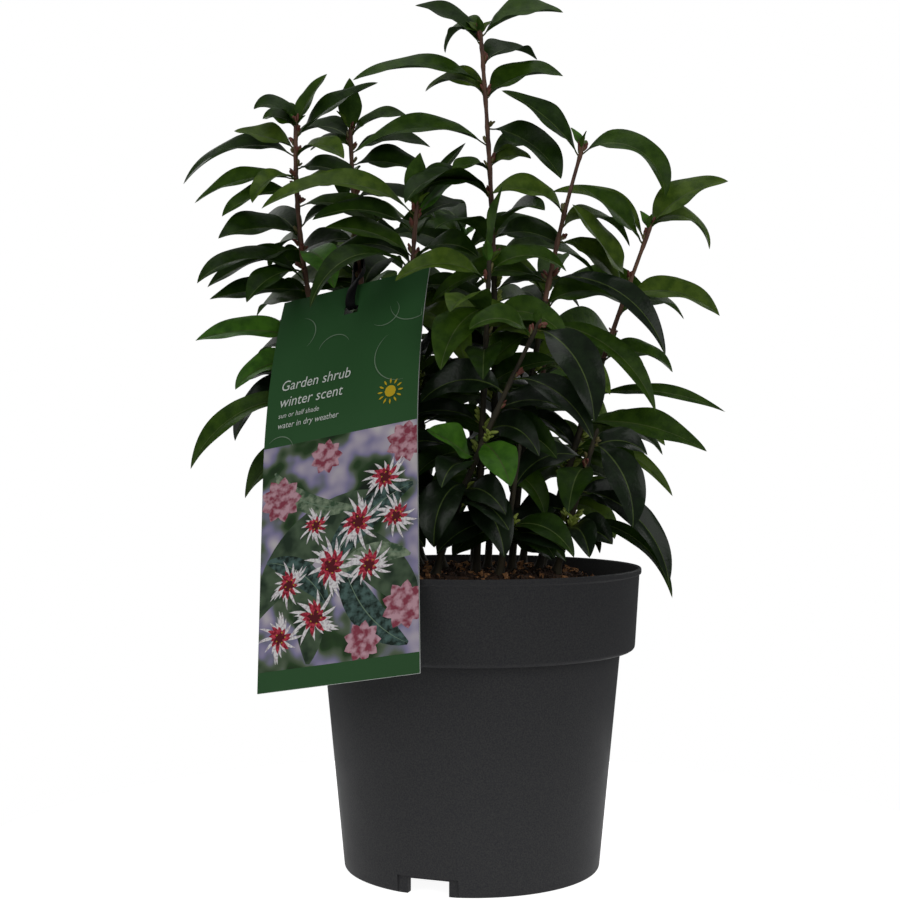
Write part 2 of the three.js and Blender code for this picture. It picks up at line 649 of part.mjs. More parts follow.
// A point of the card: shares of its width and length, and millimetres behind its middle sheet.
function labelPoint(across, along, behind) {
  const point = LABEL_CORNER.clone().addScaledVector(labelAcross, across * LABEL_WIDTH);
  const pieces = 48;
  const step = (along * LABEL_LENGTH) / pieces;
  for (let i = 0; i < pieces; i++) {
    const lean = labelLean(((i + 0.5) / pieces) * along);
    point.addScaledVector(labelUp, Math.cos(lean) * step).addScaledVector(labelBack, Math.sin(lean) * step);
  }
  const lean = labelLean(along);
  return point
    .addScaledVector(labelBack, Math.cos(lean) * behind)
    .addScaledVector(labelUp, -Math.sin(lean) * behind);
}

function labelUpwards(along) {
  const lean = labelLean(along);
  return labelUp.clone().multiplyScalar(Math.cos(lean)).addScaledVector(labelBack, Math.sin(lean));
}

function makeLabel() {
  const half = LABEL_THICKNESS / 2;
  const rings = [];
  for (let row = 0; row <= LABEL_ROWS; row++) {
    const along = row / LABEL_ROWS;
    rings.push([
      labelPoint(0, along, -half),
      labelPoint(1, along, -half),
      labelPoint(1, along, half),
      labelPoint(0, along, half),
    ]);
  }
  const upwards = labelUpwards(SLOT_ALONG);
  const facing = new THREE.Vector3().crossVectors(labelAcross, upwards);
  const cutter = new THREE.BoxGeometry(SLOT_WIDTH, SLOT_HEIGHT, 6).applyMatrix4(
    new THREE.Matrix4()
      .makeBasis(labelAcross, upwards, facing)
      .setPosition(labelPoint(SLOT_ACROSS, SLOT_ALONG, 0)),
  );
  return solidFrom(lofted(rings)).subtract(solidFrom(cutter));
}

// The strap's stations: a long narrow loop that makes a quarter twist from the card to the stem.
function strapStations() {
  const shoot = SHOOTS.find(({ name }) => name === STRAP_SHOOT);
  const stemShare = shareAtHeight(shoot, STRAP_STEM_Z);
  const stem = shootPath(shoot, stemShare);
  const upwards = labelUpwards(SLOT_ALONG);
  const seat = SLOT_HEIGHT / 2 - STRAP_THICKNESS / 2 - FIT_GAP;
  const low = labelPoint(SLOT_ACROSS, SLOT_ALONG, 0).addScaledVector(upwards, seat);
  const rise = low.clone().addScaledVector(upwards, STRAP_RISE);
  const opening = new THREE.Vector3().crossVectors(upwards, stem.tangent).normalize();
  const behindStem = new THREE.Vector3().crossVectors(stem.tangent, opening).normalize();
  const stand = stemRadius(stemShare) + STRAP_THICKNESS / 2 + FIT_GAP;
  const high = stem.point.clone().addScaledVector(behindStem, stand);
  const middle = new THREE.QuadraticBezierCurve3(low, rise, high);
  const lowOpening = new THREE.Vector3().crossVectors(labelAcross, upwards).normalize();
  return Array.from({ length: STRAP_STEPS }, (_, i) => {
    const angle = (i * 2 * Math.PI) / STRAP_STEPS;
    const share = (1 - Math.cos(angle)) / 2;
    const ease = share * share * (3 - 2 * share);
    const side = Math.sign(Math.sin(angle)) * Math.sqrt(Math.abs(Math.sin(angle))) * STRAP_OPENING;
    const outwards = lowOpening.clone().lerp(opening, ease).normalize();
    return {
      point: middle.getPoint(share).addScaledVector(outwards, side),
      beside: labelAcross.clone().lerp(stem.tangent, ease).normalize(),
    };
  });
}

function makeStrap(stations) {
  const points = [];
  const faces = [];
  stations.forEach(({ point, beside }, i) => {
    const before = stations[(i + STRAP_STEPS - 1) % STRAP_STEPS].point;
    const after = stations[(i + 1) % STRAP_STEPS].point;
    const along = after.clone().sub(before).normalize();
    const outward = new THREE.Vector3().crossVectors(along, beside).normalize();
    for (const [side, face] of [[-1, -1], [1, -1], [1, 1], [-1, 1]])
      points.push(
        point
          .clone()
          .addScaledVector(beside, (side * STRAP_WIDTH) / 2)
          .addScaledVector(outward, (face * STRAP_THICKNESS) / 2),
      );
    for (let side = 0; side < 4; side++) {
      const next = (side + 1) % 4;
      const here = i * 4;
      const there = ((i + 1) % STRAP_STEPS) * 4;
      faces.push(here + side, here + next, there + next, here + side, there + next, there + side);
    }
  });
  return solidFrom(closedGeometry(points, faces));
}

// Everything that the leaves grow round: stems, card and strap.
function takeFixedThings(strap) {
  SHOOTS.forEach((shoot, index) => {
    for (let step = 0; step <= 80; step++) takePoint(shootPath(shoot, step / 80).point, index, 1);
  });
  for (let row = 0; row <= 46; row++)
    for (let column = 0; column <= 18; column++) takePoint(labelPoint(column / 18, row / 46, 0), -1, 1);
  for (const { point, beside } of strap)
    for (const side of [-0.5, 0, 0.5])
      takePoint(point.clone().addScaledVector(beside, side * STRAP_WIDTH), -1, 1);
}

const plant = new THREE.Group();
plant.add(meshOf("pot", makePot(), materials.pot));
plant.add(meshOf("soil", makeSoil(), materials.soil));
const strap = strapStations();
takeFixedThings(strap);
const leaves = growLeaves();
SHOOTS.forEach((shoot, index) => {
  const joined = Manifold.union([makeLeafyStem(shoot), ...leaves[index]]);
  const foliage = joined.asOriginal().simplify(JOIN_TOLERANCE);
  plant.add(meshOf(`stem_${shoot.name}`, makeBareStem(shoot), materials.stem));
  plant.add(meshOf(`foliage_${shoot.name}`, foliage, materials.foliage));
});
plant.add(meshOf("label", makeLabel(), materials.label));
plant.add(meshOf("label_strap", makeStrap(strap), materials.strap));

export default plant;
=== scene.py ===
# Potted sweet box: the finished look of an evergreen clump in a nursery pot with a picture label.
# Lengths are in millimetres in this script and become metres where a mesh is made.
# The leaves grow by the same rule, from the same rows, as the solids that they stand for.
import math

import bpy
import numpy as np
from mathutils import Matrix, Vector


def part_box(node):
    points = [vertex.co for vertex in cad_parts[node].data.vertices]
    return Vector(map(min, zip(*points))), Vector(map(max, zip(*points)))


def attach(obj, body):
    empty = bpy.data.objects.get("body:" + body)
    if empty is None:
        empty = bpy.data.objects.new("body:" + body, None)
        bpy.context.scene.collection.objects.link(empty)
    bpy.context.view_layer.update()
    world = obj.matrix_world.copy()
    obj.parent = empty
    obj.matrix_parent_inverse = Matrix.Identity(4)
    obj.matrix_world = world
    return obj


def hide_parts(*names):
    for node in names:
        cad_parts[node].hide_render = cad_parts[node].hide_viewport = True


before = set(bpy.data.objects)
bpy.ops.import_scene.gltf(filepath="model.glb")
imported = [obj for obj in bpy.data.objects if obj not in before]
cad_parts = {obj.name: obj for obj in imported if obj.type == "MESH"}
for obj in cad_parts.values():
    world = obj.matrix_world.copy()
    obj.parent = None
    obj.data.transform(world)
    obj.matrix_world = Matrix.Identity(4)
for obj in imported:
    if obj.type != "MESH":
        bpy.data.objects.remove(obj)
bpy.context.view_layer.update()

MM = 0.001

# Pot
POT_HEIGHT = 167
RIM_RADIUS = 95
BAND_LOW_RADIUS = 91.3
BAND_HEIGHT = 45.5
NECK_RADIUS = 83.3
FOOT_RADIUS = 71.6
WALL = 1.6
FLOOR_UNDERSIDE = 9
FLOOR_THICKNESS = 2
FOOT_RING_WIDTH = 6
HUB_RADIUS = 40
HUB_FLANK = 2
POT_SEGMENTS = 160
FILLET_STEPS = 4
FILLET_LIMIT = 0.45
LIP_DEPTH = 3
SHARP_DEG = 38

# Drainage
NOTCH_COUNT = 3
NOTCH_TURN_DEG = 250
NOTCH_WIDTH = 23
NOTCH_HEIGHT = 8
NOTCH_DEPTH = 30
POCKET_WIDTH = 34
POCKET_RADIUS = 69
POCKET_DEPTH = 20
POCKET_RISE = 3
DRAIN_COUNT = 6
DRAIN_RADIUS = 4.5
DRAIN_CIRCLE = 53
DRAIN_SIDES = 24

# Soil
CROWN_Z = 165
CROWN_RADIUS = 54
SOIL_EDGE_Z = 150
SOIL_GAP = 1
SOIL_RADIUS = BAND_LOW_RADIUS - WALL - SOIL_GAP
SOIL_SHOULDER = 18
SHOULDER_SHARE = 0.55
SOIL_STEP_OUT = 4
FIT_GAP = 0.35
SOIL_RINGS = 44
SOIL_SPOKES = 120
SOIL_RELIEF = 1.3
SOIL_FADE = 8
CRUMB_SIZE = 3.0
CRUMB_DENSITY = 62000
CRUMB_RINGS = 12
CRUMB_SPOKES = 60
CRUMB_MARGIN = 4
CRUMB_SINK = 0.4
CRUMB_SHAPE = (1.0, 0.7, 0.42)
CRUMB_SCALES = (0.45, 1.5)

# Soil crumbs: the material, its two screen colours, the seed, the share of the density and of the size
CRUMB_KINDS = {
    "crumbs_dark": ("peat_crumb", (34, 22, 16), (64, 42, 28), 3, 1, 1),
    "crumbs_bark": ("bark_crumb", (112, 74, 44), (186, 134, 88), 8, 0.24, 1.25),
}

# Stems
FOOT_STEM_RADIUS = 2.2
TIP_STEM_RADIUS = 1
ROOT_FLARE = 1.5
ROOT_FLARE_HEIGHT = 7
STEM_STEPS = 96
HALVINGS = 30
STEM_SIDES = 10
STEM_RELIEF = 0.22
STEM_RELIEF_SCALE = 900.0
TIP_BUD = [(1.4, 1.25), (2.8, 0.95), (3.9, 0.45), (4.3, 0.1)]
NODE_SWELL = 0.38
NODE_REACH = 2.6
BARK_TURN = 0.6
GREEN_SHOOTS = ["front_leaning", "centre_front", "low_right", "low_left", "front_low", "low_front_left"]

# Leaves
LEAF_STEPS = 16
LEAF_RINGS = [0, *range(2, 2 * LEAF_STEPS)]
STALK_RINGS = 2
RING_POINTS = 8
SIDE_POINT = 0.55
TIP_LEAF_LENGTH = 52
LONGEST_LEAF = 80
LOWEST_LEAF_LENGTH = 52
LEAF_WIDTH_BASE = 9
LEAF_WIDTH_PER_LENGTH = 0.125
LEAF_BREADTH = 1.2
HUMP_START = 0.12
HUMP_SPAN = 0.95
HUMP_SHARE = 0.85
BLADE_SWELL = 0.85
BLADE_CLOSE = 0.8
BLADE_PEAK = 0.319
BLADE_BASE_THICKNESS = 0.8
BLADE_THICKNESS = 0.5
LEAST_HALF_WIDTH = 0.5
PETIOLE_HALF_WIDTH = 0.75
PETIOLE_THICKNESS = 1.1
RIB_HALF_WIDTH = 0.42
RIB_LIMIT = 0.5
RIB_START = 1.15
RIB_FALL = 0.7
RIB_GROOVE = 0.18
BLADE_START = 0.07
BLADE_FOLD = 0.28
BLADE_ARCH = 0.34
TIP_TAPER = 0.42
TIP_START = 0.5
MESH_FOLD = 0.37
EDGE_WAVE = 0.13
EDGE_WAVES = 1.7
EDGE_SLANT = 0.3
LIGHT_FROM = np.array([-0.15, -0.8, 0.58])
LIGHT_SHARE = 0.95
HIGH_LIGHT_SHARE = 0.62
HIGH_LIGHT_Z = 466
LIGHT_ROLL_DEG = 52
ROLL_SPEED = 4
TOP_RISE_DEG = 66
LOW_RISE_DEG = 20
BEND_DEG = 84
RISE_POWER = 0.8
ARCH_POWER = 0.9
LEAF_CROWDING = 1.15
LOWEST_LEAF_SHARE = 0.92
CLEARANCE = 4
OWN_CLEARANCE = 3
SHARED_BASE = 0.34
SOIL_CLEARANCE = 3
RIM_CLEARANCE_UP = 4
RIM_CLEARANCE_OUT = 5
TRIES = 9
TRY_TURN_DEG = 15
TRY_SHORTENING = 0.03
SHOOT_NET = 80
CARD_NET_COLUMNS = 18
CARD_NET_ROWS = 46

# How widely the draws spread a leaf's terms: in shares for length and width, in degrees for the rest
LEAF_SPREAD = {"length": 0.24, "width": 0.22, "heading": 24, "rise": 18, "bend": 40, "sweep": 36,
               "roll": 34}

# The rank that each kind of draw counts from
FINE_DRAWS = 40
TUFT_DRAWS = 400
WAVE_DRAWS = 700
TINT_DRAWS = 900
AXIL_DRAWS = 1300

# Leaf surfaces: two screen colours, the roughness and the gloss
LEAF_FINISHES = {
    "dark": ((18, 29, 15), (29, 44, 23), 0.3, 0.25),
    "deep": ((25, 46, 8), (41, 65, 14), 0.4, 0.12),
    "mid": ((40, 66, 11), (60, 88, 20), 0.42, 0.12),
    "olive": ((58, 82, 20), (84, 108, 32), 0.42, 0.12),
    "fresh": ((50, 92, 20), (74, 122, 32), 0.42, 0.2),
    "rib": ((62, 78, 36), (86, 104, 52), 0.45, 0.2),
    "stalk": ((84, 90, 44), (112, 112, 58), 0.5, 0.2),
    "underside": ((50, 78, 25), (72, 101, 36), 0.62, 0.08),
    "underside_fresh": ((72, 112, 40), (94, 136, 54), 0.6, 0.1),
}

# The greens that are dealt out to leaves of each tone: by length, by shoot, or else by height. The dealing
# by shoot and by height is painted light: paler greens high on each shoot and on the right-hand shoots,
# where the light falls, and darker greens low down and on the low front shoots as painted shade.
GREENS = {
    "young": ["olive", "olive", "fresh"],
    "dark": ["dark", "dark", "dark", "deep", "deep"],
    "pale": ["mid", "mid", "olive", "olive", "olive"],
    "high": ["deep", "deep", "mid", "mid", "olive"],
    "low": ["dark", "dark", "dark", "deep", "mid"],
}
YOUNG_LENGTH = 24
# Above this share of its shoot's height a leaf gets the paler greens of painted light, below it the darker
# greens of painted shade.
PAINTED_LIGHT_SHARE = 0.45
# The right-hand shoots get pale greens as painted light, the low front shoots dark greens as painted shade.
SHOOT_PAINTED_LIGHT = {"right": "pale", "right_centre": "pale", "right_back": "pale", "front_leaning": "dark",
               "low_right": "dark", "front_low": "dark", "low_front_left": "dark"}

# Leaves with a chosen green, by their shoot and their drop below its tip
CHOSEN_TINTS = {
    ("tall_centre", 1): "mid", ("tall_centre", 27): "mid", ("tall_centre", 35): "olive",
    ("tall_centre", 36): "mid", ("right_centre", 4): "deep", ("right_centre", 72): "dark",
    ("left_centre", 1): "olive", ("left_centre", 5): "olive", ("left_centre", 6): "fresh",
    ("left", 1): "mid", ("left", 12): "olive", ("left", 74): "fresh",
    ("right", 1): "olive", ("right", 4): "olive", ("right", 60): "mid",
    ("left_back", 9): "mid", ("left_back", 13): "deep",
    ("front_leaning", 2): "dark", ("front_leaning", 7): "mid", ("front_leaning", 62): "fresh",
    ("front_leaning", 72): "fresh", ("low_left", 2): "fresh", ("low_left", 18): "fresh",
    ("low_left", 26): "dark",
}

# The leaves that only this script grows, between the others
FINE_LEAVES = 9
FINE_LEAVES_OF = {"left": 20, "left_back": 20, "left_centre": 16, "front_leaning": 6, "front_low": 5,
                  "low_right": 5, "right_back": 6}
FINE_CLEARANCE = 1.6
FINE_TOP_SHARE = 0.82
FINE_SIZE = 0.86
TUFT_LEAVES = 3
TUFT_LENGTH = 13
TUFT_SHORTEST = 0.7
TUFT_SPREAD = 0.5
TUFT_WIDTH = 4.4
TUFT_TURN_DEG = 137
TUFT_RISE_DEG = 78
TUFT_DROP_DEG = 9
TUFT_BEND_DEG = 30

# Flower buds in the leaf axils
BUD_RADIUS = 1.7
BUD_SLIMNESS = 0.46
BUD_OUT = 0.5
BUD_UP = 1.4

# Kinds of bud: the screen colour, the roughness, the lowest and the highest share of the shoot's height,
# the buds to a cluster, the share of axils that bear one, the size and the spread
BUD_KINDS = {
    "buds_red": ((118, 66, 54), 0.55, 0.6, 1, 6, 0.62, 1.2, 1.45),
    "buds_olive": ((112, 104, 62), 0.55, 0.6, 1, 3, 0.9, 1.1, 1.2),
    "buds_green": ((148, 164, 72), 0.5, 0.24, 0.6, 11, 0.85, 1.45, 1.7),
}

# Label
LABEL_WIDTH = 94.5
LABEL_LENGTH = 234.5
LABEL_THICKNESS = 0.8
LABEL_CORNER = np.array([-111.8, -72.3, 106])
LABEL_YAW_DEG = 24.3
LABEL_ROLL_DEG = 10
LABEL_LEAN_DEG = 18.6
LABEL_BEND_DEG = 17.8
LABEL_BEND_START = 0.5
LABEL_PIECES = 48
CARD_COLUMNS = 12
CARD_ROWS = 48
SLOT_ACROSS = 0.5
SLOT_ALONG = 0.922
SLOT_WIDTH = 9
SLOT_HEIGHT = 5.4
SLOT_CUT = 3
PICTURE_LOW = 0.046
PICTURE_HIGH = 0.577
PRINT_RAISE = 0.03
PRINT_STEP = 0.0006
PRINT_MARGIN = 0.1
GROUND_STEPS = 24
CURL_STEPS = 20
DRAWN_LEAF_STEPS = 16
VEIN_SHARE = 0.97
VEIN_WIDTH = 0.5
PETAL_STEPS = 5
LETTER_SLANT = 0.18
LETTER_WIDTH = 0.86
SUN_PLACE = (78, 155)
SUN_RADIUS = 3.4
SUN_STEP = 0.68
SUN_RAYS = 12
RAY_START = 4.6
RAY_LENGTH = 3.2
RAY_WIDTH = 1.1

# The print's inks: those that wander through screen colours, with their noise's scale, its detail and the
# stops, and the plain ones
PICTURE_INKS = {
    "ground": (3.4, 2.2, [(0.34, (14, 28, 16)), (0.43, (44, 72, 36)), (0.48, (98, 112, 90)),
                          (0.53, (146, 140, 176)), (0.59, (188, 178, 196)), (0.65, (214, 208, 210))]),
    "far_leaf": (9, 2, [(0.35, (34, 54, 36)), (0.6, (84, 104, 78))]),
    "deep_leaf": (26, 3, [(0.38, (18, 36, 28)), (0.62, (84, 112, 106))]),
    "pale_leaf": (22, 3, [(0.38, (62, 88, 62)), (0.62, (146, 162, 134))]),
    "petal": (60, 2, [(0.36, (206, 194, 200)), (0.55, (250, 246, 246))]),
    "rose": (60, 2, [(0.4, (138, 22, 42)), (0.6, (214, 66, 88))]),
    "far_rose": (20, 2, [(0.4, (150, 64, 82)), (0.6, (214, 168, 180))]),
}
PLAIN_INKS = {"heart": (96, 16, 30), "line": (122, 146, 120), "yellow": (214, 182, 40),
              "heading": (226, 232, 224)}

# Strap
STRAP_SHOOT = "left_back"
STRAP_STEM_Z = 342
STRAP_WIDTH = 6
STRAP_THICKNESS = 0.9
STRAP_OPENING = 4
STRAP_RISE = 22
STRAP_STEPS = 32
STRAP_FINE_STEPS = 128

# Camera and light
CAMERA_PLACE = (-12.3, -870, 232.3)
LENS_MM = 61.7
SENSOR_MM = 36
FLOOR_RADIUS = 300
FLOOR_GLOW = 0.92
FLOOR_BOUNCE = 0.55
FLOOR_SIDES = 96
FLOOR_PAINT = (0.8, 0.8, 0.8, 1)
WHITE = (1, 1, 1, 1)
ROUND_LIGHT = 0.14
SKY = (0.95, 0.98, 1, 1)
LIGHT_TARGET = (0, 0, 280)

# Lamps: the place, the side in millimetres and the watts
LAMPS = {
    "key": ((900, -1400, 900), 1300, 8.5),
    "fill": ((-1300, -900, 800), 1000, 4),
    "top": ((0, 100, 1700), 1200, 5),
    "back_left": ((-1100, 1200, 1200), 1100, 6),
    "back_right": ((1200, 1100, 1000), 1100, 5),
}

# Shoots, in growing order, as the solids have them. A framing leaf is its drop below the tip, its heading,
# length, rise, bend and width.
SHOOT_KEYS = ["name", "foot", "elbow", "tip", "bare", "framing", "leaves", "heading", "turn", "size"]
SHOOT_ROWS = [
    ("tall_centre", (9, 6), (19, 6, 300), (5, 0, 466), 0.2, [
        (1, 354, 50, 43, 56, 24), (6, 182, 45, 54, 46, 18), (1, 142, 35, 64, 150, 18),
        (17, 36, 44, 54, 82, 20), (27, 181, 77, 27, 52, 18), (36, 352, 51, 50, 64, 24),
        (35, 160, 42, 60, 100, 17), (62, 179, 80, 33, 71, 18), (52, 346, 54, -8, 56, 22),
        (74, 310, 30, 46, 70, 14), (76, 215, 28, 30, 80, 13), (92, 206, 52, 44, 90, 22),
        (114, 334, 42, 24, 64, 18),
    ], 14, 250, 139, 1),
    ("right_centre", (22, -10), (31, -14, 300), (61, -12, 399), 0.22, [
        (3, 352, 66, 38, 132, 19), (4, 182, 58, 58, 36, 16), (36, 190, 46, 56, 84, 18),
        (51, 10, 46, -4, 62, 17), (72, 353, 92, 8, 84, 14), (74, 196, 76, 30, 80, 17),
        (97, 346, 86, -2, 72, 13),
    ], 11, 150, 140, 1),
    ("left_centre", (-16, 4), (-40, 5, 290), (-31, 1, 369), 0.22, [
        (1, 300, 34, 82, 14, 14), (2, 336, 70, 58, 14, 8), (5, 184, 95, 44, 84, 18),
        (6, 350, 46, 54, 24, 12), (9, 336, 50, 46, 46, 16), (14, 192, 62, 40, 70, 16),
        (18, 88, 50, 50, 80, 16), (28, 204, 58, 42, 50, 16), (30, 322, 50, 38, 80, 16),
        (36, 216, 84, 36, 112, 14), (46, 342, 56, 22, 74, 15), (58, 296, 62, 0, 72, 20),
    ], 10, 60, 138, 1),
    ("left", (-37, 14), (-106, 34, 290), (-102, 28, 420), 0.2, [
        (1, 10, 38, 72, 22, 12), (2, 200, 33, 84, 122, 16), (6, 352, 58, 44, 24, 17),
        (1, 232, 30, 58, 80, 20), (12, 184, 42, 26, 18, 17), (17, 178, 85, 31, 82, 17),
        (17, 318, 44, 30, 78, 15), (24, 338, 42, 10, 52, 17), (30, 178, 63, 12, 50, 16),
        (30, 224, 40, 16, 90, 13), (37, 196, 48, 4, 50, 16), (46, 340, 56, 14, 62, 16),
        (62, 202, 50, 16, 44, 24), (66, 120, 50, 20, 70, 16), (70, 182, 60, -8, 30, 16),
        (74, 300, 52, 8, 74, 17), (84, 226, 50, 4, 60, 17), (95, 180, 58, 6, 22, 18),
    ], 7, 60, 139, 1),
    ("right", (37, -6), (66, -12, 268), (98, -15, 354), 0.24, [
        (1, 356, 54, 60, 56, 20), (4, 18, 54, 70, 155, 14), (6, 158, 67, 66, 74, 13),
        (8, 196, 50, 52, 26, 17), (30, 200, 55, 53, 4, 19), (38, 2, 58, 26, 72, 18),
        (60, 90, 36, 20, 80, 13), (92, 353, 76, 14, 42, 9), (107, 348, 72, 8, 42, 17),
        (116, 352, 64, -2, 58, 9),
    ], 6, 140, 138, 0.9),
    ("left_back", (-30, 26), (-66, 27, 280), (-71, 40, 420), 0.2, [
        (1, 268, 32, 84, 8, 12), (3, 350, 38, 50, 66, 14), (6, 150, 46, 50, 84, 16),
        (9, 190, 40, 34, 64, 15), (13, 4, 49, 34, 58, 15), (20, 342, 48, 14, 46, 22),
        (28, 100, 46, 34, 90, 16), (34, 186, 54, 28, 60, 17), (40, 20, 56, 24, 70, 17),
        (50, 60, 50, 20, 80, 16), (66, 150, 54, 20, 70, 17), (88, 172, 84, 12, 30, 18),
    ], 10, 60, 139, 1),
    ("front_leaning", (-20, -38), (-8, -52, 214), (34, -56, 298), 0.26, [
        (2, 316, 68, -14, 76, 20), (7, 200, 40, 56, 100, 15), (28, 326, 62, 0, 68, 14),
        (46, 20, 44, 36, 70, 15), (62, 330, 42, -14, 50, 17), (72, 200, 36, 40, 24, 19),
        (84, 236, 50, 4, 104, 20), (89, 330, 52, -6, 82, 18),
    ], 3, 260, 132, 0.9),
    ("centre_front", (2, -24), (6, -31, 262), (9, -33, 333), 0.24, [
        (1, 308, 44, 82, 14, 18), (6, 14, 50, 52, 96, 15), (11, 172, 58, 46, 90, 16),
        (24, 258, 62, -8, 70, 20), (30, 320, 54, 30, 90, 17), (40, 356, 58, 34, 96, 17),
        (50, 222, 56, 24, 88, 17), (59, 300, 40, 58, 30, 18), (68, 340, 44, 40, 40, 17),
    ], 9, 120, 137, 1),
    ("low_right", (46, -22), (56, -34, 206), (66, -40, 240), 0.22, [
        (4, 328, 54, -28, 70, 17), (8, 40, 40, 40, 90, 14), (14, 200, 50, 30, 96, 16),
        (18, 250, 44, 4, 76, 16), (30, 350, 75, -6, 80, 14), (48, 352, 76, 10, 92, 8),
    ], 4, 120, 151, 0.8),
    ("low_left", (-46, 0), (-86, 6, 232), (-98, 22, 298), 0.22, [
        (2, 170, 66, 20, 40, 18), (3, 112, 40, 60, 90, 15), (18, 200, 50, 22, 80, 17),
        (26, 172, 62, 4, 84, 16), (40, 184, 92, 16, 86, 15), (58, 178, 62, -6, 62, 16),
        (70, 150, 62, -14, 66, 16), (80, 160, 60, -24, 58, 16),
    ], 4, 60, 148, 0.9),
    ("right_back", (40, 16), (60, 32, 212), (68, 46, 246), 0.22, [], 8, 62, 141, 0.75),
    ("back_right", (30, 34), (44, 52, 254), (46, 66, 326), 0.22, [], 15, 60, 137, 1),
    ("back_centre", (2, 44), (2, 66, 270), (-4, 80, 362), 0.22, [], 15, 100, 140, 1),
    ("back_left", (-28, 46), (-52, 68, 250), (-66, 84, 338), 0.22, [], 14, 140, 138, 1),
    ("front_low", (14, -44), (20, -54, 200), (24, -60, 232), 0.24, [
        (38, 186, 44, 8, 64, 16), (42, 338, 32, 4, 66, 15),
    ], 9, 290, 139, 0.85),
    ("low_front_left", (-42, -24), (-52, -34, 196), (-54, -36, 222), 0.24, [], 7, 200, 141, 0.8),
]
SHOOTS = [dict(zip(SHOOT_KEYS, row)) for row in SHOOT_ROWS]


# Small helpers

def mix(a, b, share):
    return a + (b - a) * share


def unit(vector):
    return vector / np.linalg.norm(vector)


def chance(shoot_index, count):
    """A number from 0 to 1 that depends only on the shoot's place in the list and a count."""
    wave = math.sin((shoot_index + 1) * 127.1 + count * 311.7) * 43758.5453
    return wave - math.floor(wave)


def linear(colour):
    """A colour of three screen values from 0 to 255, as the shader takes it."""
    def one(value):
        share = value / 255
        return share / 12.92 if share <= 0.04045 else ((share + 0.055) / 1.055) ** 2.4
    return (*map(one, colour), 1)


def add_object(name, data):
    thing = bpy.data.objects.new(name, data)
    bpy.context.scene.collection.objects.link(thing)
    return thing


def mesh_piece(name, points, faces, materials, face_materials=None, smooth=True, edges=()):
    """A mesh object at the origin from points in millimetres."""
    mesh = bpy.data.meshes.new(name)
    mesh.from_pydata((np.asarray(points, float) * MM).tolist(), edges, faces)
    for material in materials:
        mesh.materials.append(material)
    if face_materials is not None:
        mesh.polygons.foreach_set("material_index", face_materials)
    mesh.polygons.foreach_set("use_smooth", [smooth] * len(mesh.polygons))
    mesh.update()
    return add_object(name, mesh)


def settle_modifier(piece, modifier):
    """Makes what the modifier shows the piece's own mesh, and takes the modifier off."""
    evaluated = piece.evaluated_get(bpy.context.evaluated_depsgraph_get())
    mesh = bpy.data.meshes.new_from_object(evaluated)
    piece.modifiers.remove(modifier)
    piece.data = mesh


def give_points(piece, name, kind, values):
    """Gives each point of a piece a named value, for the trees to read."""
    field = "vector" if kind == "FLOAT_VECTOR" else "value"
    piece.data.attributes.new(name, kind, "POINT").data.foreach_set(field, values)


def round_points(radius, sides, height):
    """Points round the vertical at one height."""
    angles = [2 * math.pi * side / sides for side in range(sides)]
    return [(radius * math.cos(angle), radius * math.sin(angle), height) for angle in angles]


def hand_over(piece, slot, *nodes):
    """Hangs the finished piece on the root and hides the solids that it stands for. The slot is not used.
    """
    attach(piece, "root")
    if nodes:
        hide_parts(*nodes)


# Materials

def plain_material(name, colour, roughness, **sockets):
    material = bpy.data.materials.new(name)
    material.use_nodes = True
    shader = material.node_tree.nodes["Principled BSDF"]
    shader.inputs["Base Color"].default_value = linear(colour)
    shader.inputs["Roughness"].default_value = roughness
    for socket, value in sockets.items():
        shader.inputs[socket.replace("_", " ")].default_value = value
    return material


def node_of(material, kind, **values):
    node = material.node_tree.nodes.new(kind)
    for socket, value in values.items():
        node.inputs[socket].default_value = value
    return node


def noise_of(material, scale, detail, coordinates="Object", stretch=(1, 1, 1)):
    """Noise over the piece, at so many waves a metre."""
    place = node_of(material, "ShaderNodeTexCoord")
    mapping = node_of(material, "ShaderNodeMapping", Scale=stretch)
    noise = node_of(material, "ShaderNodeTexNoise", Scale=scale, Detail=detail)
    links = material.node_tree.links
    links.new(place.outputs[coordinates], mapping.inputs["Vector"])
    links.new(mapping.outputs["Vector"], noise.inputs["Vector"])
    return noise.outputs["Fac"]


def ramp_of(material, factor, stops):
    """A colour ramp with stops of (place, screen colour)."""
    ramp = node_of(material, "ShaderNodeValToRGB")
    elements = ramp.color_ramp.elements
    while len(elements) < len(stops):
        elements.new(0.5)
    for element, (place, colour) in zip(elements, stops):
        element.position = place
        element.color = linear(colour)
    material.node_tree.links.new(factor, ramp.inputs["Fac"])
    return ramp.outputs["Color"]


def feed(material, output, socket):
    shader = material.node_tree.nodes["Principled BSDF"]
    material.node_tree.links.new(output, shader.inputs[socket])


def add_bump(material, height, strength, distance_mm):
    bump = node_of(material, "ShaderNodeBump", Strength=strength, Distance=distance_mm * MM)
    material.node_tree.links.new(height, bump.inputs["Height"])
    feed(material, bump.outputs["Normal"], "Normal")


def roughness_between(material, factor, low, high):
    span = node_of(material, "ShaderNodeMapRange")
    span.inputs["To Min"].default_value = low
    span.inputs["To Max"].default_value = high
    material.node_tree.links.new(factor, span.inputs["Value"])
    feed(material, span.outputs["Result"], "Roughness")


def toned_material(name, dark, pale, roughness, noise, span, stretch=(1, 1, 1), **sockets):
    """A material between two tones, by noise of a scale and a detail, and the noise itself."""
    material = plain_material(name, pale, roughness, **sockets)
    grain = noise_of(material, *noise, stretch=stretch)
    feed(material, ramp_of(material, grain, list(zip(span, (dark, pale)))), "Base Color")
    return material, grain


def pot_material():
    material, _ = toned_material("pot_grey_plastic", (51, 51, 54), (61, 61, 61), 0.5, (1300, 2),
                                 (0.34, 0.66), IOR=1.16)
    roughness_between(material, noise_of(material, 70, 4), 0.4, 0.54)
    add_bump(material, noise_of(material, 1500, 2), 0.35, 0.12)
    return material


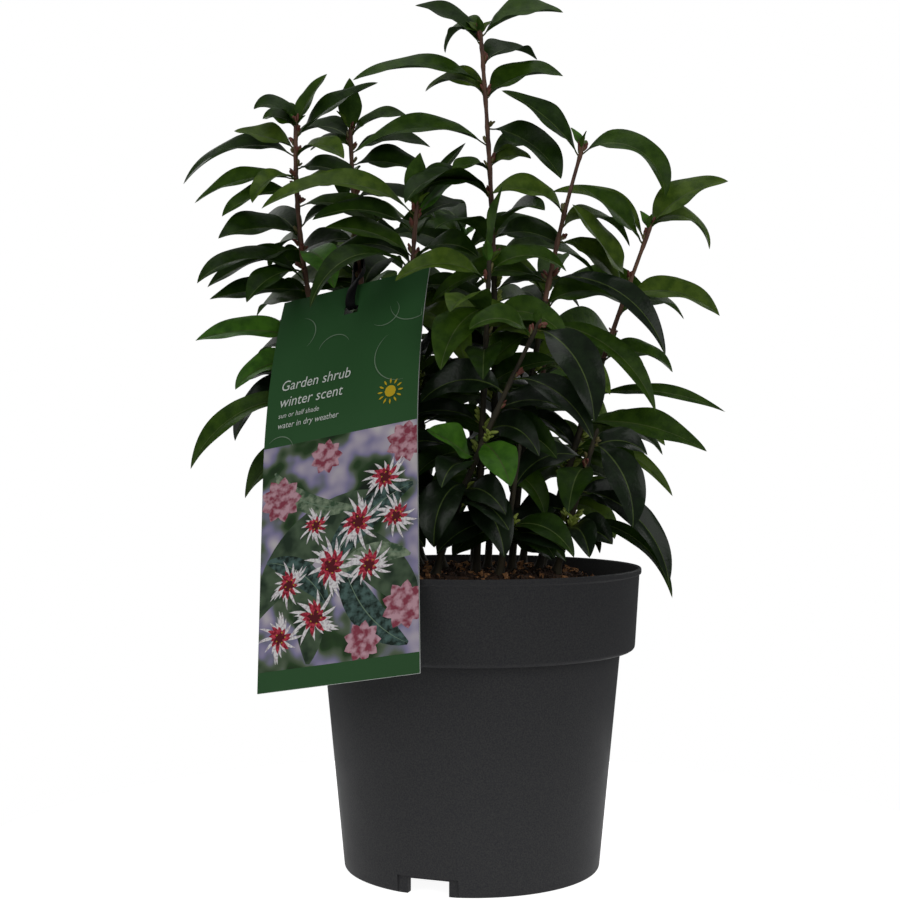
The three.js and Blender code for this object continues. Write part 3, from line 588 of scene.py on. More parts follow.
def soil_material():
    material, grain = toned_material("damp_soil", (34, 22, 15), (104, 70, 44), 0.95, (420, 6), (0.3, 0.7))
    add_bump(material, grain, 0.9, 1.2)
    return material


def crumb_material(name, dark, pale):
    material, grain = toned_material(name, dark, pale, 0.9, (500, 4), (0.35, 0.65), (1, 1, 3))
    add_bump(material, grain, 0.6, 0.5)
    return material


def bark_material(name, dark, pale, roughness):
    material, streak = toned_material(name, dark, pale, roughness, (260, 5), (0.36, 0.64), (1, 1, 0.3))
    add_bump(material, streak, 0.5, 0.4)
    return material


def leaf_material(name, dark, pale, roughness, gloss):
    material, _ = toned_material(name, dark, pale, roughness, (170, 7), (0.34, 0.66),
                                 Specular_IOR_Level=gloss)
    add_bump(material, noise_of(material, 520, 3), 0.32, 0.5)
    return material


def ink_material(name, colour):
    return plain_material(name, colour, 0.36, IOR=1.2)


def picture_material(name, scale, detail, stops, coordinates="UV"):
    """An ink that wanders through a few colours over the card, as a picture's soft ground does."""
    material = ink_material(name, stops[0][1])
    feed(material, ramp_of(material, noise_of(material, scale, detail, coordinates), stops), "Base Color")
    return material


# Shoots and leaves, by the solids' rule

def shoot_corners(shoot):
    """The foot, the elbow and the tip, which shape the shoot's curve."""
    places = [*shoot["foot"], CROWN_Z + FIT_GAP], shoot["elbow"], shoot["tip"]
    return [np.array(place, float) for place in places]


def shoot_point(shoot, share):
    foot, elbow, tip = shoot_corners(shoot)
    back = 1 - share
    return back * back * foot + 2 * back * share * elbow + share * share * tip


def shoot_tangent(shoot, share):
    foot, elbow, tip = shoot_corners(shoot)
    return unit((1 - share) * (elbow - foot) + share * (tip - elbow))


def stem_radius(share):
    return mix(FOOT_STEM_RADIUS, TIP_STEM_RADIUS, share)


def blade_shape(share):
    """Half the blade's width, as a share of its greatest, at a share of its length."""
    v = np.clip((share - BLADE_START) / (1 - BLADE_START), 0, 1)
    return v ** BLADE_SWELL * (1 - v) ** BLADE_CLOSE / BLADE_PEAK


def share_at_height(shoot, height):
    """The share of the shoot's curve at which it has a height, by halving."""
    low, high = 0.0, 1.0
    for _ in range(HALVINGS):
        middle = (low + high) / 2
        if shoot_point(shoot, middle)[2] < height:
            low = middle
        else:
            high = middle
    return low


def framing_leaf(shoot, row):
    drop, heading, length, rise, bend, width = row
    return {"share": share_at_height(shoot, shoot["tip"][2] - drop), "length": length, "width": width,
            "heading": math.radians(heading), "rise": math.radians(rise), "bend": math.radians(bend),
            "sweep": 0.0, "roll": 0.0, "tint": CHOSEN_TINTS.get((shoot["name"], drop))}


def leaf_at(shoot, shoot_index, rank, share):
    """A leaf of the rule at a share of the shoot's height."""
    down = (1 - share) / (1 - shoot["bare"])
    off = {term: spread * (chance(shoot_index, rank * len(LEAF_SPREAD) + salt) - 0.5)
           for salt, (term, spread) in enumerate(LEAF_SPREAD.items(), 1)}
    hump = math.sin(math.pi * min(1, HUMP_START + HUMP_SPAN * down))
    plain = mix(TIP_LEAF_LENGTH, LOWEST_LEAF_LENGTH, down)
    length = shoot["size"] * (plain + (LONGEST_LEAF - plain) * hump * HUMP_SHARE) * (1 + off["length"])
    return {"share": share, "length": length,
            "width": (LEAF_WIDTH_BASE + LEAF_WIDTH_PER_LENGTH * length) * (1 + off["width"]),
            "heading": math.radians(shoot["heading"] + rank * shoot["turn"] + off["heading"]),
            "rise": math.radians(mix(TOP_RISE_DEG, LOW_RISE_DEG, down ** RISE_POWER) + off["rise"]),
            "bend": math.radians(BEND_DEG + off["bend"]),
            "sweep": math.radians(off["sweep"]),
            "roll": math.radians(off["roll"])}


def ruled_leaf(shoot, shoot_index, rank):
    framing = shoot["framing"]
    lowest = framing_leaf(shoot, framing[-1])["share"] if framing else 1
    count = rank + (1 if framing else 0)
    share = mix(lowest, shoot["bare"], (count / shoot["leaves"]) ** LEAF_CROWDING * LOWEST_LEAF_SHARE)
    return leaf_at(shoot, shoot_index, rank, share)


def turned_aside(leaf, attempt):
    """The leaf as a later try has it: turned to one side or the other, and a little shorter."""
    side = 1 if attempt % 2 else -1
    turn = math.radians(side * math.ceil(attempt / 2) * TRY_TURN_DEG)
    length = leaf["length"] * (1 - TRY_SHORTENING * attempt)
    return {**leaf, "heading": leaf["heading"] + turn, "length": length}


def leaf_frame(leaf, u):
    """The directions along, level across and out of the leaf at a share of its length."""
    rise = leaf["rise"] - leaf["bend"] * u ** ARCH_POWER
    heading = leaf["heading"] + leaf["sweep"] * u
    flat = np.cos(rise)
    along = np.stack([flat * np.cos(heading), flat * np.sin(heading), np.sin(rise)], -1)
    level = np.stack([-np.sin(heading), np.cos(heading), np.zeros_like(heading)], -1)
    return along, level, np.cross(along, level)


def leaf_roll(leaf, height):
    """How far the leaf turns its face to the light."""
    _, level, upper = leaf_frame(leaf, np.array(0.5))
    wanted = math.atan2(-LIGHT_FROM @ level, abs(LIGHT_FROM @ upper))
    most = math.radians(LIGHT_ROLL_DEG)
    share = mix(LIGHT_SHARE, HIGH_LIGHT_SHARE, (height - CROWN_Z) / (HIGH_LIGHT_Z - CROWN_Z))
    return min(max(wanted * share, -most), most) + leaf["roll"]


def leaf_stations(shoot, leaf):
    """The midline's points from the stem's axis to the tip, with its directions and half widths."""
    u = np.arange(LEAF_STEPS + 1) / LEAF_STEPS
    along, level, upper = leaf_frame(leaf, u)
    base = shoot_point(shoot, leaf["share"])
    turn = (leaf_roll(leaf, base[2]) * np.minimum(1, ROLL_SPEED * u))[:, None]
    steps = np.vstack([np.zeros(3), along[:-1] * leaf["length"] / LEAF_STEPS])
    return {"u": u,
            "point": base + np.cumsum(steps, axis=0),
            "across": level * np.cos(turn) + upper * np.sin(turn),
            "upper": upper * np.cos(turn) - level * np.sin(turn),
            "half": LEAF_BREADTH * leaf["width"] / 2 * blade_shape(u)}


def leaf_net(stations):
    """Points all over the folded blade, with their shares of its length."""
    sides = np.array([-1, -0.5, 0, 0.5, 1])
    reach = stations["half"][:, None] * sides
    lift = BLADE_FOLD * np.abs(reach)
    net = (stations["point"][:, None]
           + reach[..., None] * stations["across"][:, None]
           + lift[..., None] * stations["upper"][:, None])
    return net.reshape(-1, 3), np.repeat(stations["u"], len(sides))


class Taken:
    """What is already grown, as points with their owner and their share of the leaf."""

    def __init__(self):
        self.points = np.empty((0, 3))
        self.owners = np.empty(0, int)
        self.shares = np.empty(0)

    def add(self, points, owner, shares):
        points = np.atleast_2d(points)
        self.points = np.vstack([self.points, points])
        self.owners = np.append(self.owners, np.full(len(points), owner))
        self.shares = np.append(self.shares, np.broadcast_to(shares, len(points)))

    def is_clear(self, net, shares, owner, clearance, own_clearance):
        radius = np.hypot(net[:, 0], net[:, 1])
        height = net[:, 2]
        if np.any((height < CROWN_Z + SOIL_CLEARANCE) & (radius < RIM_RADIUS)):
            return False
        if np.any((height < POT_HEIGHT + RIM_CLEARANCE_UP) & (radius < RIM_RADIUS + RIM_CLEARANCE_OUT)):
            return False
        reach = max(clearance, own_clearance)
        near = np.all((self.points > net.min(0) - reach) & (self.points < net.max(0) + reach), axis=1)
        own = self.owners[near] == owner
        gaps = ((net[:, None] - self.points[near][None]) ** 2).sum(-1)
        others = np.where(self.owners[near] < 0, CLEARANCE, clearance)
        limits = np.where(own, own_clearance, others) ** 2
        base = (shares[:, None] < SHARED_BASE) | (self.shares[near][None] < SHARED_BASE)
        return not np.any((gaps <= limits) & ~(own & base))


def settle(taken, leaf, shoot, shoot_index, clearance=CLEARANCE, own_clearance=OWN_CLEARANCE):
    """The first clear place for a leaf among a few tries, or nothing."""
    for attempt in range(TRIES):
        tried = turned_aside(leaf, attempt)
        stations = leaf_stations(shoot, tried)
        net, shares = leaf_net(stations)
        if taken.is_clear(net, shares, shoot_index, clearance, own_clearance):
            taken.add(net, shoot_index, shares)
            return [{**tried, **stations, "shoot": shoot_index}]
    return []


def in_reach(leaf):
    """Whether a leaf stays inside the box of its shoot's solid foliage."""
    low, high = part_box("foliage_" + SHOOTS[leaf["shoot"]]["name"])
    points = leaf["point"] * MM
    return bool(np.all(points > np.array(low)) and np.all(points < np.array(high)))


def grow_leaves(taken):
    """All framing leaves first, then the ruled ones, top leaf first."""
    leaves = []
    for index, shoot in enumerate(SHOOTS):
        for row in shoot["framing"]:
            leaves += settle(taken, framing_leaf(shoot, row), shoot, index)
    for index, shoot in enumerate(SHOOTS):
        for rank in range(shoot["leaves"]):
            leaves += settle(taken, ruled_leaf(shoot, index, rank), shoot, index)
    return leaves


def grow_fine_leaves(taken):
    leaves = []
    for index, shoot in enumerate(SHOOTS):
        count = FINE_LEAVES_OF.get(shoot["name"], FINE_LEAVES)
        for rank in range(count):
            share = mix(FINE_TOP_SHARE, shoot["bare"], (rank + 0.5) / count)
            fine = leaf_at(shoot, index, rank + FINE_DRAWS, share)
            fine["length"] *= FINE_SIZE
            leaves += settle(taken, fine, shoot, index, FINE_CLEARANCE, FINE_CLEARANCE)
    return [leaf for leaf in leaves if in_reach(leaf)]


def grow_tufts():
    """The small young leaves round each shoot's end bud."""
    leaves = []
    for index, shoot in enumerate(SHOOTS):
        for rank in range(TUFT_LEAVES):
            size = TUFT_SHORTEST + TUFT_SPREAD * chance(index, TUFT_DRAWS + rank)
            young = {"share": 1.0, "length": TUFT_LENGTH * size, "width": TUFT_WIDTH,
                     "heading": math.radians(shoot["heading"] + rank * TUFT_TURN_DEG),
                     "rise": math.radians(TUFT_RISE_DEG - TUFT_DROP_DEG * rank),
                     "bend": math.radians(TUFT_BEND_DEG), "sweep": 0.0, "roll": 0.0}
            leaves.append({**young, **leaf_stations(shoot, young), "shoot": index})
    return [leaf for leaf in leaves if in_reach(leaf)]


# Leaf meshes

def halved(values):
    """The values at the steps and, on a smooth curve, halfway between them."""
    padded = np.concatenate([2 * values[:1] - values[1:2], values, 2 * values[-1:] - values[-2:-1]])
    finer = np.repeat(values, 2, axis=0)[:-1]
    finer[1::2] = (9 * (padded[1:-2] + padded[2:-1]) - padded[:-3] - padded[3:]) / 16
    return finer


def halved_leaf(leaf):
    """The leaf with its stations at each half step."""
    steps = {key: halved(leaf[key]) for key in ("u", "point", "across", "upper")}
    half = LEAF_BREADTH * leaf["width"] / 2 * blade_shape(steps["u"])
    return {**leaf, **steps, "half": half}


def leaf_ring(leaf, i, phase):
    """The points round the blade or its stalk at one station: six over the face and two under it."""
    point, across, upper = leaf["point"][i], leaf["across"][i], leaf["upper"][i]
    u = leaf["u"][i]
    stalk = u < BLADE_START
    drawn_out = 1 - TIP_TAPER * max(0, (u - TIP_START) / (1 - TIP_START))
    half = PETIOLE_HALF_WIDTH if stalk else max(leaf["half"][i] * drawn_out, LEAST_HALF_WIDTH)
    thick = PETIOLE_THICKNESS if stalk else mix(BLADE_BASE_THICKNESS, BLADE_THICKNESS, min(1, 3 * u))
    rib = min(RIB_LIMIT * half, RIB_HALF_WIDTH * (RIB_START - RIB_FALL * u)) / half
    fold, arch = (0, 0) if stalk else (MESH_FOLD, BLADE_ARCH)
    ring = []
    for s in (-1, -SIDE_POINT, -rib, rib, SIDE_POINT, 1):
        side = abs(s)
        lift = half * (fold * side + arch * side * (1 - side)) + thick / 2 * (1 - side)
        if side == 1 and not stalk:
            wave = math.sin(2 * math.pi * (EDGE_WAVES * u + phase + EDGE_SLANT * s))
            lift += EDGE_WAVE * half * wave
        if side == rib and not stalk:
            lift -= RIB_GROOVE
        ring.append(point + across * (s * half) + upper * lift)
    for s in (rib, -rib):
        ring.append(point + across * (s * half) + upper * (half * fold * rib - thick / 2))
    return ring


def leaf_faces():
    """The corner numbers of one leaf's faces, with the kind of surface that each belongs to."""
    kinds = ["upper", "upper", "rib", "upper", "upper", "under", "under", "under"]
    faces, owners = [tuple(range(RING_POINTS))], ["stalk"]
    last = (len(LEAF_RINGS) - 1) * RING_POINTS
    for ring, next_ring in enumerate(LEAF_RINGS[1:]):
        for side, kind in enumerate(kinds):
            a, b = (ring * RING_POINTS + corner % RING_POINTS for corner in (side, side + 1))
            faces.append((a, a + RING_POINTS, b + RING_POINTS, b))
            owners.append("stalk" if next_ring <= STALK_RINGS else kind)
    for side, kind in enumerate(kinds):
        faces.append((last + side, last + RING_POINTS, last + (side + 1) % RING_POINTS))
        owners.append(kind)
    return faces, owners


def tint_of(leaf, rank):
    """A leaf's green: chosen, or dealt out by its length, its shoot, its height and a draw. By shoot and by
    height it carries painted light: paler where the light falls, darker where shade falls.
    """
    if leaf.get("tint"):
        return leaf["tint"]
    # Painted light by height: high leaves get paler greens, low leaves darker ones.
    painted_light_by_height = "high" if leaf["share"] > PAINTED_LIGHT_SHARE else "low"
    tone = SHOOT_PAINTED_LIGHT.get(SHOOTS[leaf["shoot"]]["name"], painted_light_by_height)
    greens = GREENS["young" if leaf["length"] < YOUNG_LENGTH else tone]
    return greens[int(chance(leaf["shoot"], TINT_DRAWS + rank) * len(greens))]


def material_key(kind, tint):
    if kind == "upper":
        return tint
    if kind == "under":
        return "underside_fresh" if tint == "fresh" else "underside"
    return kind


def make_leaves(name, leaves):
    """All leaves as one piece, with a material for each green and kind of surface."""
    palette = {key: leaf_material("leaf_" + key, *finish) for key, finish in LEAF_FINISHES.items()}
    template, kinds = leaf_faces()
    slots = list(palette)
    points, faces, face_materials = [], [], []
    for rank, leaf in enumerate(leaves):
        start = len(points)
        phase = chance(leaf["shoot"], WAVE_DRAWS + rank)
        tint = tint_of(leaf, rank)
        finer = halved_leaf(leaf)
        for i in LEAF_RINGS:
            points += leaf_ring(finer, i, phase)
        points.append(leaf["point"][LEAF_STEPS])
        faces += [tuple(start + corner for corner in face) for face in template]
        face_materials += [slots.index(material_key(kind, tint)) for kind in kinds]
    piece = mesh_piece(name, points, faces, palette.values(), face_materials)
    mark_margins(piece)
    return piece


def mark_margins(piece):
    """Keeps the shading of the upper face and the underside apart along each leaf's margins."""
    mesh = piece.data
    tip = len(LEAF_RINGS) * RING_POINTS
    ends = np.empty(len(mesh.edges) * 2, int)
    mesh.edges.foreach_get("vertices", ends)
    ends = ends.reshape(-1, 2) % (tip + 1)
    column = ends % RING_POINTS
    margins = (0, 5)
    same = (column[:, 0] == column[:, 1]) & np.isin(column[:, 0], margins)
    to_tip = np.isin(ends.min(1) % RING_POINTS, margins)
    sharp = mesh.attributes.new("sharp_edge", "BOOLEAN", "EDGE")
    sharp.data.foreach_set("value", np.where(ends.max(1) == tip, to_tip, same))


# Geometry Nodes

def new_tree(name, sizes):
    """A modifier tree with a geometry in and out and a named input for each size."""
    tree = bpy.data.node_groups.new(name, "GeometryNodeTree")
    for way in ("INPUT", "OUTPUT"):
        tree.interface.new_socket("Geometry", in_out=way, socket_type="NodeSocketGeometry")
    for size in sizes:
        tree.interface.new_socket(size, in_out="INPUT", socket_type="NodeSocketFloat")
    return tree, tree.nodes.new("NodeGroupInput").outputs, tree.nodes.new("NodeGroupOutput").inputs[0]


def add_node(tree, kind, links=None, **settings):
    """The outputs of a new node, with its settings and with values or other outputs on its inputs."""
    node = tree.nodes.new(kind if "Node" in kind else "GeometryNode" + kind)
    for key, value in settings.items():
        setattr(node, key, value)
    for socket, value in (links or {}).items():
        if isinstance(value, bpy.types.NodeSocket):
            tree.links.new(value, node.inputs[socket])
        else:
            node.inputs[socket].default_value = value
    return node.outputs


def times(tree, first, second):
    return add_node(tree, "ShaderNodeMath", {0: first, 1: second}, operation="MULTIPLY")[0]


def named(tree, name, kind="FLOAT"):
    """A named value of the points, as a node's output."""
    return add_node(tree, "InputNamedAttribute", {"Name": name}, data_type=kind)["Attribute"]


def grown(piece, tree, **sizes):
    """The piece as the plain mesh that the tree makes of it, with the modifier gone."""
    modifier = piece.modifiers.new(tree.name, "NODES")
    modifier.node_group = tree
    for socket in tree.interface.items_tree:
        if socket.in_out == "INPUT" and socket.name in sizes:
            modifier[socket.identifier] = sizes[socket.name]
    settle_modifier(piece, modifier)
    return piece


def finish_tree(tree, geometry, material, out):
    real = add_node(tree, "RealizeInstances", {"Geometry": geometry})
    dressed = add_node(tree, "SetMaterial", {"Geometry": real[0], "Material": material})
    tree.links.new(dressed[0], out)
    return tree


def stem_tree(material):
    """A round stem along each line of edges, as thick as its points say, with a rough skin."""
    tree, given, out = new_tree("stems_along_lines", ["Relief", "Relief Scale"])
    line = add_node(tree, "MeshToCurve", {"Mesh": given["Geometry"]})
    ring = add_node(tree, "CurvePrimitiveCircle", {"Resolution": STEM_SIDES, "Radius": 1.0})
    tube = add_node(tree, "CurveToMesh", {"Curve": line[0], "Profile Curve": ring["Curve"],
                                          "Scale": named(tree, "stem_radius"), "Fill Caps": True})
    noise = add_node(tree, "ShaderNodeTexNoise", {"Scale": given["Relief Scale"], "Detail": 3.0})
    middle = add_node(tree, "ShaderNodeMath", {0: noise["Fac"], 1: 0.5}, operation="SUBTRACT")
    offset = add_node(tree, "ShaderNodeVectorMath", {
        0: add_node(tree, "InputNormal")["Normal"], "Scale": times(tree, middle[0], given["Relief"])},
        operation="SCALE")
    rough = add_node(tree, "SetPosition", {"Geometry": tube[0], "Offset": offset[0]})
    smooth = add_node(tree, "SetShadeSmooth", {"Geometry": rough[0]})
    return finish_tree(tree, smooth[0], material, out)


def bud_tree(name, material):
    """A small pointed bud at each point, along the point's own direction."""
    tree, given, out = new_tree(name, ["Radius", "Slimness"])
    ball = add_node(tree, "MeshIcoSphere", {"Radius": 1.0, "Subdivisions": 2})
    slim = given["Slimness"]
    shape = add_node(tree, "ShaderNodeCombineXYZ", {"X": slim, "Y": slim, "Z": 1.0})
    bud = add_node(tree, "Transform", {"Geometry": ball["Mesh"], "Scale": shape[0]})
    turn = add_node(tree, "FunctionNodeAlignRotationToVector",
                    {"Vector": named(tree, "bud_heading", "FLOAT_VECTOR")}, axis="Z")
    placed = add_node(tree, "InstanceOnPoints", {
        "Points": given["Geometry"], "Instance": bud[0], "Rotation": turn[0],
        "Scale": times(tree, named(tree, "bud_size"), given["Radius"])})
    smooth = add_node(tree, "SetShadeSmooth", {"Geometry": placed[0]})
    return finish_tree(tree, smooth[0], material, out)


def crumb_tree(name, material, seed):
    """Angular crumbs of bark and peat, scattered over a surface."""
    tree, given, out = new_tree(name, ["Density", "Size"])
    points = add_node(tree, "DistributePointsOnFaces", {
        "Mesh": given["Geometry"], "Density": given["Density"], "Seed": seed})
    block = add_node(tree, "MeshCube", {
        "Size": CRUMB_SHAPE, "Vertices X": 3, "Vertices Y": 3, "Vertices Z": 3})
    noise = add_node(tree, "ShaderNodeTexNoise", {
        "Vector": add_node(tree, "InputPosition")[0], "Scale": 1.9 + 0.1 * seed, "Detail": 2.0})
    middle = add_node(tree, "ShaderNodeVectorMath", {0: noise["Color"], 1: (0.5, 0.5, 0.5)},
                      operation="SUBTRACT")
    chipped = add_node(tree, "SetPosition", {"Geometry": block["Mesh"], "Offset": middle[0]})
    turn = add_node(tree, "FunctionNodeRandomValue", {
        "Min": (-3.14, -3.14, -3.14), "Max": (3.14, 3.14, 3.14), "Seed": seed + 1},
        data_type="FLOAT_VECTOR")
    least, most = CRUMB_SCALES
    size = add_node(tree, "FunctionNodeRandomValue", {2: least, 3: most, "Seed": seed + 2},
                    data_type="FLOAT")
    placed = add_node(tree, "InstanceOnPoints", {
        "Points": points["Points"], "Instance": chipped[0], "Rotation": turn[0],
        "Scale": times(tree, size[1], given["Size"])})
    return finish_tree(tree, placed[0], material, out)


# Stems

def stem_line(shoot, leaves):
    """Points up one shoot with the radius at each: a flared foot, a swelling at each leaf, a bud on top."""
    shares = np.linspace(0, 1, STEM_STEPS + 1)
    points = [shoot_point(shoot, share) for share in shares]
    knots = np.array([leaf["share"] for leaf in leaves])
    height = shoot["tip"][2] - CROWN_Z
    radii = []
    for share in shares:
        swell = NODE_SWELL * np.exp(-((share - knots) * height / NODE_REACH) ** 2).max()
        flare = (ROOT_FLARE - 1) * FOOT_STEM_RADIUS * max(0, 1 - share * height / ROOT_FLARE_HEIGHT) ** 2
        radii.append(stem_radius(share) + swell + flare)
    up = shoot_tangent(shoot, 1)
    for rise, radius in TIP_BUD:
        points.append(shoot_point(shoot, 1) + up * rise * TIP_STEM_RADIUS)
        radii.append(radius * TIP_STEM_RADIUS)
    return points, radii


def make_stems(name, leaves, material, upper):
    """The lower or the upper stretch of every shoot, as one piece. Green shoots have no upper one."""
    points, edges, radii = [], [], []
    for index, shoot in enumerate(SHOOTS):
        line, thickness = stem_line(shoot, [leaf for leaf in leaves if leaf["shoot"] == index])
        turn = 1 if shoot["name"] in GREEN_SHOOTS else BARK_TURN
        low, high = (turn, 1) if upper else (0, turn)
        first, last = round(low * STEM_STEPS), round(high * STEM_STEPS)
        if first == last:
            continue
        if high == 1:
            last = len(line) - 1
        start = len(points)
        points += line[first:last + 1]
        radii += thickness[first:last + 1]
        edges += [(i, i + 1) for i in range(start, len(points) - 1)]
    piece = mesh_piece(name, points, [], [], edges=edges)
    give_points(piece, "stem_radius", "FLOAT", np.array(radii) * MM)
    return grown(piece, stem_tree(material),
                 **{"Relief": STEM_RELIEF * MM, "Relief Scale": STEM_RELIEF_SCALE})


# Buds

def bud_points(leaves, low_share, high_share, count, axils, spread):
    """Clusters of buds in a share of the leaf axils between two shares of their shoots' heights."""
    places, headings, sizes = [], [], []
    for rank, leaf in enumerate(leaves):
        index = leaf["shoot"]
        if not low_share <= leaf["share"] < high_share or chance(index, AXIL_DRAWS + rank) > axils:
            continue
        out = unit(leaf["point"][2] - leaf["point"][0])
        up = shoot_tangent(SHOOTS[index], leaf["share"])
        side = np.cross(up, out)
        base = leaf["point"][0] + out * (stem_radius(leaf["share"]) + BUD_OUT) + up * BUD_UP
        for bud in range(count):
            def draw(salt):
                return chance(index, rank * 37 + bud * 5 + salt) - 0.5
            heading = unit(up * (1.1 / spread + 0.4 * draw(1)) + out * (0.5 * spread + draw(2))
                           + side * 2.0 * spread * draw(3))
            places.append(base + heading * spread * (1.3 + 0.5 * draw(4)) + up * 0.5 * bud)
            headings.append(heading)
            sizes.append(1 + 0.6 * draw(5))
    return places, headings, sizes


def make_buds(name, leaves, colour, roughness, low, high, count, axils, size, spread):
    """One kind of bud on all shoots, as one piece."""
    places, headings, sizes = bud_points(leaves, low, high, count, axils, spread)
    piece = mesh_piece(name, places, [], [])
    give_points(piece, "bud_heading", "FLOAT_VECTOR", np.ravel(headings))
    give_points(piece, "bud_size", "FLOAT", sizes)
    tree = bud_tree(name + "_on_points", plain_material(name + "_skin", colour, roughness))
    return grown(piece, tree, Radius=size * BUD_RADIUS * MM, Slimness=BUD_SLIMNESS / spread ** 0.7)


# Pot

def wall_radius(height):
    return mix(FOOT_RADIUS, NECK_RADIUS, height / (POT_HEIGHT - BAND_HEIGHT))


def rounded(profile):
    """A profile of (radius, height, fillet) corners with each corner turned into a short curve."""
    points = []
    count = len(profile)
    for i, (radius, height, fillet) in enumerate(profile):
        here = np.array([radius, height], float)
        if fillet == 0 or i in (0, count - 1):
            points.append(here)
            continue
        before = np.array(profile[i - 1][:2], float) - here
        after = np.array(profile[i + 1][:2], float) - here
        start = here + before * min(FILLET_LIMIT, fillet / np.linalg.norm(before))
        end = here + after * min(FILLET_LIMIT, fillet / np.linalg.norm(after))
        for step in range(FILLET_STEPS + 1):
            t = step / FILLET_STEPS
            points.append((1 - t) ** 2 * start + 2 * t * (1 - t) * here + t * t * end)
    return points


def turned(name, profile, segments, material):
    """A profile from axis to axis turned about the vertical, as one closed mesh."""
    points = [(0, 0, profile[0][1])]
    rings = profile[1:-1]
    for radius, height in rings:
        points += round_points(radius, segments, height)
    end = len(points)
    top = end - segments
    points.append((0, 0, profile[-1][1]))
    faces = []
    for spoke in range(segments):
        after = (spoke + 1) % segments
        faces.append((0, 1 + after, 1 + spoke))
        for low in range(1, top, segments):
            high = low + segments
            faces.append((low + spoke, low + after, high + after, high + spoke))
        faces.append((top + spoke, top + after, end))
    return mesh_piece(name, points, faces, [material])


def pot_profile():
    """The pot's corners as (radius, height, fillet), from the hub's underside out and back in."""
    band_foot = POT_HEIGHT - BAND_HEIGHT
    floor_top = FLOOR_UNDERSIDE + FLOOR_THICKNESS
    foot_inner = FOOT_RADIUS - FOOT_RING_WIDTH
    return [
        (0, 0, 0),
        (HUB_RADIUS, 0, 0.8),
        (HUB_RADIUS + HUB_FLANK, FLOOR_UNDERSIDE, 1),
        (foot_inner, FLOOR_UNDERSIDE, 1),
        (foot_inner, 0, 0.5),
        (FOOT_RADIUS - 0.15, 0, 1.2),
        (NECK_RADIUS, band_foot, 0.7),
        (BAND_LOW_RADIUS, band_foot + 0.3, 2.2),
        (RIM_RADIUS - 1.1, POT_HEIGHT - LIP_DEPTH - 0.7, 0.4),
        (RIM_RADIUS, POT_HEIGHT - LIP_DEPTH, 0.5),
        (RIM_RADIUS, POT_HEIGHT, 1.1),
        (RIM_RADIUS - WALL - 0.4, POT_HEIGHT, 0.8),
        (BAND_LOW_RADIUS - WALL - 0.4, band_foot + 5, 1.5),
        (NECK_RADIUS - WALL, band_foot + 2, 1),
        (wall_radius(floor_top) - WALL, floor_top, 1),
        (HUB_RADIUS, floor_top, 0.8),
        (HUB_RADIUS - HUB_FLANK, FLOOR_THICKNESS, 0.8),
        (0, FLOOR_THICKNESS, 0),
    ]


# The corners round a square, and the faces of a box with the low square's corners first
SQUARE = [(-1, -1), (1, -1), (1, 1), (-1, 1)]
BOX_FACES = [(3, 2, 1, 0), (4, 5, 6, 7), (0, 1, 5, 4), (1, 2, 6, 5), (2, 3, 7, 6), (3, 0, 4, 7)]


def turned_box(width, depth, height, radius, heading_deg):
    """A cutter's corners, at a radius and heading."""
    heading = math.radians(heading_deg)
    outward = np.array([math.cos(heading), math.sin(heading), 0])
    sideways = np.array([-math.sin(heading), math.cos(heading), 0])
    return [outward * (radius + x * depth / 2) + sideways * y * width / 2 + np.array([0, 0, z * height / 2])
            for z in (-1, 1) for x, y in SQUARE]


def cutter_of(name, solids):
    """Several closed shapes as one cutting object."""
    points, faces = [], []
    for corners, corner_faces in solids:
        start = len(points)
        points += list(corners)
        faces += [tuple(start + corner for corner in face) for face in corner_faces]
    return mesh_piece(name, points, faces, [])


def cut_away(piece, cutter):
    modifier = piece.modifiers.new("cut", "BOOLEAN")
    modifier.operation = "DIFFERENCE"
    modifier.solver = "EXACT"
    modifier.object = cutter
    settle_modifier(piece, modifier)
    bpy.data.objects.remove(cutter)


def drain_corners(heading):
    """A round cutter through the floor, and its faces."""
    sides = DRAIN_SIDES
    place = np.array([DRAIN_CIRCLE * math.cos(heading), DRAIN_CIRCLE * math.sin(heading), FLOOR_UNDERSIDE])
    corners = [place + np.array(point) for z in (-2 * FLOOR_THICKNESS, 2 * FLOOR_THICKNESS)
               for point in round_points(DRAIN_RADIUS, sides, z)]
    faces = [tuple(reversed(range(sides))), tuple(range(sides, 2 * sides))]
    faces += [(s, (s + 1) % sides, sides + (s + 1) % sides, sides + s) for s in range(sides)]
    return corners, faces


def make_pot():
    """The turned pot with its foot notches, their pockets and its drain holes cut away."""
    pot = turned("nursery_pot", rounded(pot_profile()), POT_SEGMENTS, pot_material())
    headings = [NOTCH_TURN_DEG + i * 360 / NOTCH_COUNT for i in range(NOTCH_COUNT)]
    notch = NOTCH_WIDTH, NOTCH_DEPTH, 2 * NOTCH_HEIGHT, FOOT_RADIUS
    pocket = POCKET_WIDTH, POCKET_DEPTH, 2 * NOTCH_HEIGHT + POCKET_RISE, POCKET_RADIUS + POCKET_DEPTH / 2
    for box in (notch, pocket):
        solids = [(turned_box(*box, heading), BOX_FACES) for heading in headings]
        cut_away(pot, cutter_of("foot_cutter", solids))
    drains = [drain_corners(i * 2 * math.pi / DRAIN_COUNT) for i in range(DRAIN_COUNT)]
    cut_away(pot, cutter_of("drain_cutter", drains))
    pot.data.set_sharp_from_angle(angle=math.radians(SHARP_DEG))
    return pot


# Soil

def soil_height(radius):
    """The bed's height at a distance from the middle."""
    shoulder = mix(SOIL_EDGE_Z, CROWN_Z, SHOULDER_SHARE)
    return float(np.interp(radius, [CROWN_RADIUS, CROWN_RADIUS + SOIL_SHOULDER, SOIL_RADIUS],
                           [CROWN_Z, shoulder, SOIL_EDGE_Z]))


